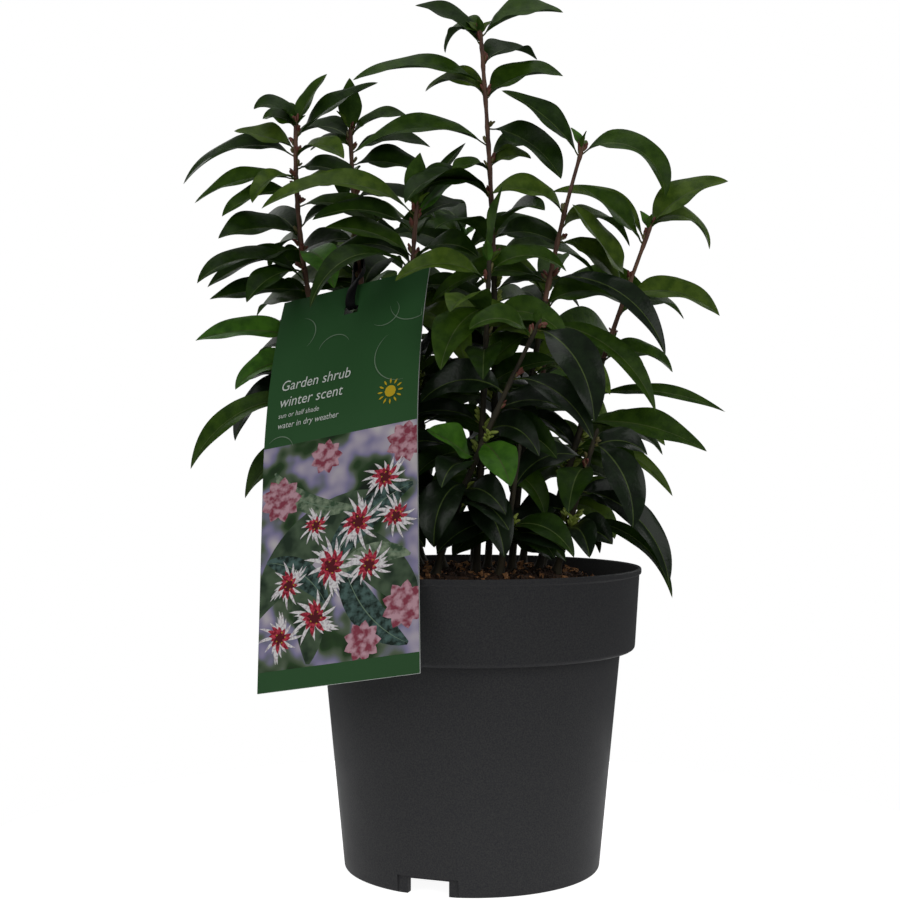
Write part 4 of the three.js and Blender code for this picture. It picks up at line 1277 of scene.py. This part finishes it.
def soil_relief(x, y):
    """Crossing waves over the soil, each smaller than the one before."""
    waves = [(0.31, 0.17, 0.2), (-0.22, 0.37, 1.4), (0.55, -0.48, 2.6), (0.9, 0.76, 4.1)]
    return sum(math.sin(a * x + b * y + c) / (1 + i) for i, (a, b, c) in enumerate(waves)) / 2


def make_soil_bed():
    """The soil's top as a bumpy disc with a skirt and a flat underside, inside the pot's wall."""
    floor_top = FLOOR_UNDERSIDE + FLOOR_THICKNESS + FIT_GAP
    neck = POT_HEIGHT - BAND_HEIGHT + SOIL_STEP_OUT
    profile = [(0, floor_top),
               (wall_radius(floor_top) - WALL - SOIL_GAP, floor_top),
               (NECK_RADIUS - WALL - SOIL_GAP, neck - SOIL_STEP_OUT),
               (NECK_RADIUS - WALL, neck),
               (SOIL_RADIUS, neck + SOIL_STEP_OUT),
               (SOIL_RADIUS, SOIL_EDGE_Z)]
    for ring in range(1, SOIL_RINGS):
        radius = SOIL_RADIUS * (1 - ring / SOIL_RINGS)
        profile.append((radius, soil_height(radius)))
    profile.append((0, CROWN_Z))
    bed = turned("soil_bed", profile, SOIL_SPOKES, soil_material())
    for vertex in bed.data.vertices:
        x, y, z = (value / MM for value in vertex.co)
        if z > SOIL_EDGE_Z - 1:
            fade = min(1, (SOIL_RADIUS - math.hypot(x, y)) / SOIL_FADE)
            vertex.co.z += MM * SOIL_RELIEF * (soil_relief(x, y) - 0.5) * fade
    return bed


def crumb_ground(name):
    """The surface that the crumbs are scattered over: the soil's top."""
    points = [(0, 0, CROWN_Z)]
    edge = BAND_LOW_RADIUS - WALL - CRUMB_MARGIN
    for ring in range(1, CRUMB_RINGS + 1):
        radius = edge * ring / CRUMB_RINGS
        points += round_points(radius, CRUMB_SPOKES, soil_height(radius) - CRUMB_SINK)
    faces = []
    for spoke in range(CRUMB_SPOKES):
        after = (spoke + 1) % CRUMB_SPOKES
        faces.append((0, 1 + spoke, 1 + after))
        for ring in range(CRUMB_RINGS - 1):
            low, high = 1 + ring * CRUMB_SPOKES, 1 + (ring + 1) * CRUMB_SPOKES
            faces.append((low + spoke, high + spoke, high + after, low + after))
    return mesh_piece(name, points, faces, [], smooth=False)


def make_crumbs(name, material, dark, pale, seed, density_share, size_share):
    """One kind of crumb over the whole soil, as one piece."""
    tree = crumb_tree(name + "_scatter", crumb_material(material, dark, pale), seed)
    return grown(crumb_ground(name), tree,
                 Density=CRUMB_DENSITY * density_share, Size=CRUMB_SIZE * size_share * MM)


# Label

LABEL_YAW, LABEL_ROLL = math.radians(LABEL_YAW_DEG), math.radians(LABEL_ROLL_DEG)
label_across = np.array([math.cos(LABEL_YAW) * math.cos(LABEL_ROLL),
                         -math.sin(LABEL_YAW) * math.cos(LABEL_ROLL), math.sin(LABEL_ROLL)])
label_up = unit(np.array([0, 0, 1]) - label_across * label_across[2])
label_back = np.cross(label_up, label_across)


def label_lean(along):
    bent = max(0, (along - LABEL_BEND_START) / (1 - LABEL_BEND_START))
    return math.radians(LABEL_LEAN_DEG + LABEL_BEND_DEG * bent)


def label_point(across, along, behind):
    """A point of the card: shares of its width and length, and millimetres behind its middle sheet."""
    point = LABEL_CORNER + label_across * across * LABEL_WIDTH
    step = along * LABEL_LENGTH / LABEL_PIECES
    for i in range(LABEL_PIECES):
        lean = label_lean((i + 0.5) / LABEL_PIECES * along)
        point = point + label_up * math.cos(lean) * step + label_back * math.sin(lean) * step
    lean = label_lean(along)
    return point + label_back * math.cos(lean) * behind - label_up * math.sin(lean) * behind


def label_upwards(along):
    lean = label_lean(along)
    return label_up * math.cos(lean) + label_back * math.sin(lean)


def bend_on_card(piece):
    """Moves a piece modelled flat, as width, length and height over the face, on to the bent card."""
    for vertex in piece.data.vertices:
        x, y, z = (value / MM for value in vertex.co)
        vertex.co = Vector(label_point(x / LABEL_WIDTH, y / LABEL_LENGTH, -z)) * MM
    piece.data.update()


def card_faces():
    """Both sheets of the card, square by square, and then its margins, with their count."""
    def corner(place, top):
        return (top * (CARD_ROWS + 1) + place[0]) * (CARD_COLUMNS + 1) + place[1]

    faces = []
    for row in range(CARD_ROWS):
        for column in range(CARD_COLUMNS):
            square = [(row, column), (row, column + 1), (row + 1, column + 1), (row + 1, column)]
            faces.append(tuple(corner(place, 0) for place in reversed(square)))
            faces.append(tuple(corner(place, 1) for place in square))
    margins = [((row, column), (row, column + 1), row > 0)
               for column in range(CARD_COLUMNS) for row in (0, CARD_ROWS)]
    margins += [((row, column), (row + 1, column), column == 0)
                for row in range(CARD_ROWS) for column in (0, CARD_COLUMNS)]
    for here, there, flip in margins:
        side = (corner(here, 0), corner(there, 0), corner(there, 1), corner(here, 1))
        faces.append(side[::-1] if flip else side)
    return faces, len(margins)


def make_card():
    """The card with its slot, bent."""
    half = LABEL_THICKNESS / 2
    points = [(column / CARD_COLUMNS * LABEL_WIDTH, row / CARD_ROWS * LABEL_LENGTH, z)
              for z in (-half, half) for row in range(CARD_ROWS + 1) for column in range(CARD_COLUMNS + 1)]
    faces, margins = card_faces()
    greens = [(0.3, (47, 87, 48)), (0.7, (53, 96, 54))]
    green = picture_material("label_green_gloss", 9, 3, greens, "Object")
    edge = plain_material("label_white_edge", (196, 200, 196), 0.6)
    kinds = [0] * (len(faces) - margins) + [1] * margins
    card = mesh_piece("label_card", points, faces, [green, edge], kinds, smooth=False)
    middle_x, middle_y = LABEL_WIDTH * SLOT_ACROSS, LABEL_LENGTH * SLOT_ALONG
    slot = [(middle_x + x * SLOT_WIDTH / 2, middle_y + y * SLOT_HEIGHT / 2, z)
            for z in (-SLOT_CUT, SLOT_CUT) for x, y in SQUARE]
    cut_away(card, cutter_of("slot_cutter", [(slot, BOX_FACES)]))
    bend_on_card(card)
    return card


class Print:
    """Flat shapes printed on the card, each a hair above the one before, in one of the print's inks."""

    def __init__(self, names):
        self.names = names
        self.points, self.faces, self.inks = [], [], []
        self.height = LABEL_THICKNESS / 2 + PRINT_RAISE
        self.low, self.high = 0, LABEL_LENGTH

    def keep_within(self, low, high):
        self.low, self.high = low, high

    def sheet(self, ink, points, faces):
        start = len(self.points)
        right = LABEL_WIDTH - PRINT_MARGIN
        self.points += [(min(max(x, PRINT_MARGIN), right), min(max(y, self.low), self.high), self.height)
                        for x, y in points]
        self.faces += [tuple(start + corner for corner in face) for face in faces]
        self.inks += [self.names.index(ink)] * len(faces)
        self.height += PRINT_STEP

    def strip(self, ink, line, widths):
        """A strip along a line, as wide as stated at each point."""
        points = []
        for i, (here, width) in enumerate(zip(line, widths)):
            before, after = line[max(0, i - 1)], line[min(len(line) - 1, i + 1)]
            forward = np.array(after, float) - np.array(before, float)
            side = np.array([-forward[1], forward[0]]) / max(1e-9, np.linalg.norm(forward)) * width / 2
            points += [tuple(np.array(here) + side), tuple(np.array(here) - side)]
        self.sheet(ink, points, [(2 * i, 2 * i + 1, 2 * i + 3, 2 * i + 2) for i in range(len(line) - 1)])

    def blade(self, ink, foot, heading, length, width, bow=0.0, *, steps):
        """A petal or leaf: a strip that swells and closes, bowed to one side."""
        line, widths = [], []
        for i in range(steps + 1):
            t = i / steps
            turn = heading + bow * (t - 0.3)
            line.append((foot[0] + length * t * math.cos(turn), foot[1] + length * t * math.sin(turn)))
            widths.append(max(0.02, width * math.sin(math.pi * min(1, 0.02 + 0.98 * t)) ** 0.8))
        self.strip(ink, line, widths)


def label_inks():
    """The print's inks by name."""
    inks = {name: picture_material("picture_" + name, *row) for name, row in PICTURE_INKS.items()}
    inks.update({name: ink_material("ink_" + name, colour) for name, colour in PLAIN_INKS.items()})
    return inks


def draw_leaves(ink):
    """Broad leaves that cross the picture, soft ones first."""
    rows = [
        ("far_leaf", (-2, 40), 1.0, 92, 26, -0.4), ("far_leaf", (96, 30), 2.2, 84, 24, 0.3),
        ("far_leaf", (30, 12), 1.5, 60, 20, 0.3), ("deep_leaf", (92, 100), 3.5, 70, 17, 0.5),
        ("pale_leaf", (8, 120), -0.9, 58, 11, 0.6), ("deep_leaf", (88, 16), 2.55, 66, 18, -0.5),
        ("pale_leaf", (90, 62), 2.9, 46, 12, 0.5), ("deep_leaf", (4, 70), -0.3, 48, 14, -0.5),
    ]
    for kind, foot, heading, length, width, bow in rows:
        ink.blade(kind, foot, heading, length, width, bow, steps=DRAWN_LEAF_STEPS)
        if kind != "far_leaf":
            ink.blade("line", foot, heading, length * VEIN_SHARE, VEIN_WIDTH, bow, steps=DRAWN_LEAF_STEPS)


def draw_blossom(ink, x, y, size, turn):
    """A round head: a ring of narrow white petals over a rose ring with a dark heart."""
    for count, share, width, kind in (
            (19, 1.0, 0.13, "petal"), (11, 0.6, 0.18, "rose"), (6, 0.3, 0.16, "heart")):
        for petal in range(count):
            heading = turn + petal * 2 * math.pi / count + 0.35 * math.sin(7 * petal + turn)
            reach = size * share * (0.86 + 0.2 * math.sin(5 * petal + 3 * turn))
            ink.blade(kind, (x, y), heading, reach, size * width, 0.3, steps=PETAL_STEPS)
    for dot in range(5):
        angle = turn + dot * 1.257
        place = (x + size * 0.2 * math.cos(angle), y + size * 0.2 * math.sin(angle))
        ink.blade("yellow", place, 0, 0.9, 0.8, steps=3)


def draw_blossoms(ink):
    """Two loose drifts of blossom from the foot's left up to the right, with unsharp ones behind."""
    for x, y, size in ((12, 104, 13), (86, 36, 13), (62, 20, 11), (88, 124, 12), (40, 124, 10)):
        for petal in range(9):
            ink.blade("far_rose", (x, y), petal * 0.7, size, size * 0.6, steps=6)
    heads = [(13, 28, 14), (34, 36, 16), (18, 56, 13), (44, 62, 17), (66, 60, 14), (60, 84, 16),
             (82, 84, 13), (76, 106, 14), (34, 86, 11)]
    for count, (x, y, size) in enumerate(heads):
        draw_blossom(ink, x, y, size, 2.4 * count)


def words_of(body, size, x, y):
    """The points and faces of a line of slanted lettering, its foot at a place on the card."""
    curve = bpy.data.curves.new("words", "FONT")
    curve.body = body
    curve.size = size
    curve.shear = LETTER_SLANT
    curve.resolution_u = 3
    lettering = add_object("words", curve)
    mesh = bpy.data.meshes.new_from_object(lettering.evaluated_get(bpy.context.evaluated_depsgraph_get()))
    points = [(x + LETTER_WIDTH * vertex.co.x, y + vertex.co.y) for vertex in mesh.vertices]
    faces = [tuple(face.vertices) for face in mesh.polygons]
    bpy.data.objects.remove(lettering)
    return points, faces


def draw_sun(ink):
    """A disc with rays."""
    x, y = SUN_PLACE
    for ray in range(SUN_RAYS):
        angle = 2 * math.pi * ray / SUN_RAYS
        foot = (x + RAY_START * math.cos(angle), y + RAY_START * math.sin(angle))
        ink.blade("yellow", foot, angle, RAY_LENGTH, RAY_WIDTH, steps=PETAL_STEPS)
    across = [SUN_STEP * i for i in range(round(2 * SUN_RADIUS / SUN_STEP) + 1)]
    ink.strip("yellow", [(x - SUN_RADIUS + step, y) for step in across],
              [2 * math.sqrt(max(0.01, SUN_RADIUS ** 2 - (step - SUN_RADIUS) ** 2)) for step in across])


def draw_heading(ink):
    """The green head of the card: plain words, a sun mark and fine curls."""
    for body, size, y in (("Garden shrub", 9.2, 169.5), ("winter scent", 9.2, 159.2),
                          ("sun or half shade", 4.4, 152.4), ("water in dry weather", 5.2, 146)):
        ink.sheet("heading", *words_of(body, size, 8, y))
    draw_sun(ink)
    curls = [(88, 214, 15, 3.3, 2.4), (70, 208, 9, 4.0, 3.0), (14, 206, 12, 5.4, 2.2),
             (84, 178, 17, 2.2, 2.6), (40, 190, 10, 0.4, 2.6), (10, 132, 9, 0.2, 2.2)]
    for x, y, radius, start, span in curls:
        turns = [start + span * i / CURL_STEPS for i in range(CURL_STEPS + 1)]
        ink.strip("line", [(min(max(x + radius * math.cos(turn), 1), LABEL_WIDTH - 1),
                            min(y + radius * math.sin(turn), LABEL_LENGTH - 2)) for turn in turns],
                  [0.1 + 0.5 * math.sin(math.pi * i / CURL_STEPS) for i in range(CURL_STEPS + 1)])


def make_label_print():
    """A generic garden print: round blossoms and broad leaves over a soft ground, and a plain heading."""
    inks = label_inks()
    ink = Print(list(inks))
    low, high = PICTURE_LOW * LABEL_LENGTH, PICTURE_HIGH * LABEL_LENGTH
    ground = [(LABEL_WIDTH / 2, mix(low, high, i / GROUND_STEPS)) for i in range(GROUND_STEPS + 1)]
    ink.strip("ground", ground, [LABEL_WIDTH - 2 * PRINT_MARGIN] * len(ground))
    ink.keep_within(low, high)
    draw_leaves(ink)
    draw_blossoms(ink)
    ink.keep_within(0, LABEL_LENGTH)
    draw_heading(ink)
    piece = mesh_piece("label_print", ink.points, ink.faces, list(inks.values()), ink.inks, smooth=False)
    uv = piece.data.uv_layers.new(name="card_places")
    corners = np.empty(len(piece.data.loops), int)
    piece.data.loops.foreach_get("vertex_index", corners)
    places = np.array([(x / LABEL_WIDTH, y / LABEL_WIDTH) for x, y, _ in ink.points])
    uv.data.foreach_set("uv", places[corners].ravel())
    bend_on_card(piece)
    return piece


# Strap

def strap_stations(steps):
    """The strap's loop: a narrow ring that makes a quarter twist from the card's slot to the stem."""
    shoot = next(row for row in SHOOTS if row["name"] == STRAP_SHOOT)
    share_up = share_at_height(shoot, STRAP_STEM_Z)
    stem, tangent = shoot_point(shoot, share_up), shoot_tangent(shoot, share_up)
    upwards = label_upwards(SLOT_ALONG)
    seat = SLOT_HEIGHT / 2 - STRAP_THICKNESS / 2 - FIT_GAP
    low = label_point(SLOT_ACROSS, SLOT_ALONG, 0) + upwards * seat
    rise = low + upwards * STRAP_RISE
    opening = unit(np.cross(upwards, tangent))
    behind_stem = unit(np.cross(tangent, opening))
    high = stem + behind_stem * (stem_radius(share_up) + STRAP_THICKNESS / 2 + FIT_GAP)
    low_opening = unit(np.cross(label_across, upwards))
    stations = []
    for i in range(steps):
        angle = i * 2 * math.pi / steps
        share = (1 - math.cos(angle)) / 2
        ease = share * share * (3 - 2 * share)
        side = float(np.sign(math.sin(angle))) * math.sqrt(abs(math.sin(angle))) * STRAP_OPENING
        middle = (1 - share) ** 2 * low + 2 * share * (1 - share) * rise + share * share * high
        outwards = unit(mix(low_opening, opening, ease))
        stations.append((middle + outwards * side, unit(mix(label_across, tangent, ease))))
    return stations


def make_strap():
    """The loop as a flat band with rounded edges, its face turned as its path is."""
    stations = strap_stations(STRAP_FINE_STEPS)
    half_width, half_thick = STRAP_WIDTH / 2, STRAP_THICKNESS / 2
    section = [(-1, -0.4), (-0.9, -1), (0.9, -1), (1, -0.4), (1, 0.4), (0.9, 1), (-0.9, 1), (-1, 0.4)]
    points, faces = [], []
    sides = len(section)
    for i, (point, beside) in enumerate(stations):
        along = unit(stations[(i + 1) % len(stations)][0] - stations[i - 1][0])
        outward = unit(np.cross(along, beside))
        for across, over in section:
            points.append(point + beside * across * half_width + outward * over * half_thick)
        for side in range(sides):
            a, b = i * sides + side, i * sides + (side + 1) % sides
            ahead = ((i + 1) % len(stations)) * sides - i * sides
            faces.append((a, b, b + ahead, a + ahead))
    black = plain_material("black_strap", (12, 12, 14), 0.6, IOR=1.18)
    roughness_between(black, noise_of(black, 300, 3), 0.5, 0.68)
    return mesh_piece("label_strap_band", points, faces, [black])


# Camera, light and floor

def look_at(thing, place, target):
    thing.location = Vector(place) * MM
    thing.rotation_euler = (Vector(target) - Vector(place)).to_track_quat("-Z", "Y").to_euler()


def add_camera():
    data = bpy.data.cameras.new("camera")
    data.sensor_width = SENSOR_MM
    data.lens = LENS_MM
    camera = add_object("camera", data)
    x, _, z = CAMERA_PLACE
    look_at(camera, CAMERA_PLACE, (x, 0, z))
    bpy.context.scene.camera = camera


def add_lamp(name, place, side, watts):
    data = bpy.data.lights.new(name, "AREA")
    data.shape = "SQUARE"
    data.size = side * MM
    data.energy = watts
    look_at(add_object(name, data), place, LIGHT_TARGET)


def add_floor():
    white = plain_material("pale_floor", (255, 255, 255), 0.8)
    shader = white.node_tree.nodes["Principled BSDF"]
    shader.inputs["Base Color"].default_value = FLOOR_PAINT
    shader.inputs["Emission Color"].default_value = WHITE
    seen = node_of(white, "ShaderNodeLightPath").outputs["Is Camera Ray"]
    glow = node_of(white, "ShaderNodeMapRange")
    glow.inputs["To Min"].default_value = FLOOR_BOUNCE
    glow.inputs["To Max"].default_value = FLOOR_GLOW
    white.node_tree.links.new(seen, glow.inputs["Value"])
    feed(white, glow.outputs["Result"], "Emission Strength")
    rim = round_points(FLOOR_RADIUS, FLOOR_SIDES, 0)
    floor = mesh_piece("floor", rim, [tuple(range(FLOOR_SIDES))], [white], smooth=False)


def add_world():
    """White behind the object, and a softer grey as light from all round."""
    world = bpy.data.worlds.new("studio")
    world.use_nodes = True
    nodes, links = world.node_tree.nodes, world.node_tree.links
    seen, lit = nodes["Background"], nodes.new("ShaderNodeBackground")
    seen.inputs["Color"].default_value = WHITE
    lit.inputs["Color"].default_value = SKY
    lit.inputs["Strength"].default_value = ROUND_LIGHT
    path, either = nodes.new("ShaderNodeLightPath"), nodes.new("ShaderNodeMixShader")
    links.new(path.outputs["Is Camera Ray"], either.inputs[0])
    links.new(lit.outputs[0], either.inputs[1])
    links.new(seen.outputs[0], either.inputs[2])
    links.new(either.outputs[0], nodes["World Output"].inputs["Surface"])
    bpy.context.scene.world = world


def set_the_stage():
    bpy.context.scene.view_settings.view_transform = "Standard"
    add_camera()
    add_world()
    add_floor()
    for name, lamp in LAMPS.items():
        add_lamp(name, *lamp)


# The whole object

def grow_plant():
    """The leaves that the solids have, and the finer ones between them and at the tips."""
    taken = Taken()
    for index, shoot in enumerate(SHOOTS):
        steps = [shoot_point(shoot, step / SHOOT_NET) for step in range(SHOOT_NET + 1)]
        taken.add(np.array(steps), index, 1)
    card = [label_point(column / CARD_NET_COLUMNS, row / CARD_NET_ROWS, 0)
            for row in range(CARD_NET_ROWS + 1) for column in range(CARD_NET_COLUMNS + 1)]
    taken.add(np.array(card), -1, 1)
    strap = [point + beside * side * STRAP_WIDTH
             for point, beside in strap_stations(STRAP_STEPS) for side in (-0.5, 0, 0.5)]
    taken.add(np.array(strap), -1, 1)
    leaves = grow_leaves(taken)
    return leaves, grow_fine_leaves(taken) + grow_tufts()


leaves, fine_leaves = grow_plant()
foliage_names = ["foliage_" + shoot["name"] for shoot in SHOOTS]
stem_names = ["stem_" + shoot["name"] for shoot in SHOOTS]
old_bark = bark_material("stem_brown_green", (34, 30, 19), (60, 53, 34), 0.75)
young_bark = bark_material("stem_red_brown", (78, 48, 38), (118, 84, 64), 0.65)

hand_over(make_leaves("leaves", leaves + fine_leaves), "leaf", *foliage_names)
hand_over(make_stems("stems_lower", leaves, old_bark, False), "stem", *stem_names)
hand_over(make_stems("stems_upper", leaves, young_bark, True), "stem")
for name, kind in BUD_KINDS.items():
    hand_over(make_buds(name, leaves, *kind), "leaf")
hand_over(make_pot(), "pot_plastic", "pot")
hand_over(make_soil_bed(), "soil", "soil")
for name, kind in CRUMB_KINDS.items():
    hand_over(make_crumbs(name, *kind), "soil")
hand_over(make_card(), "label_card", "label")
hand_over(make_label_print(), "label_card")
hand_over(make_strap(), "strap_plastic", "label_strap")
set_the_stage()
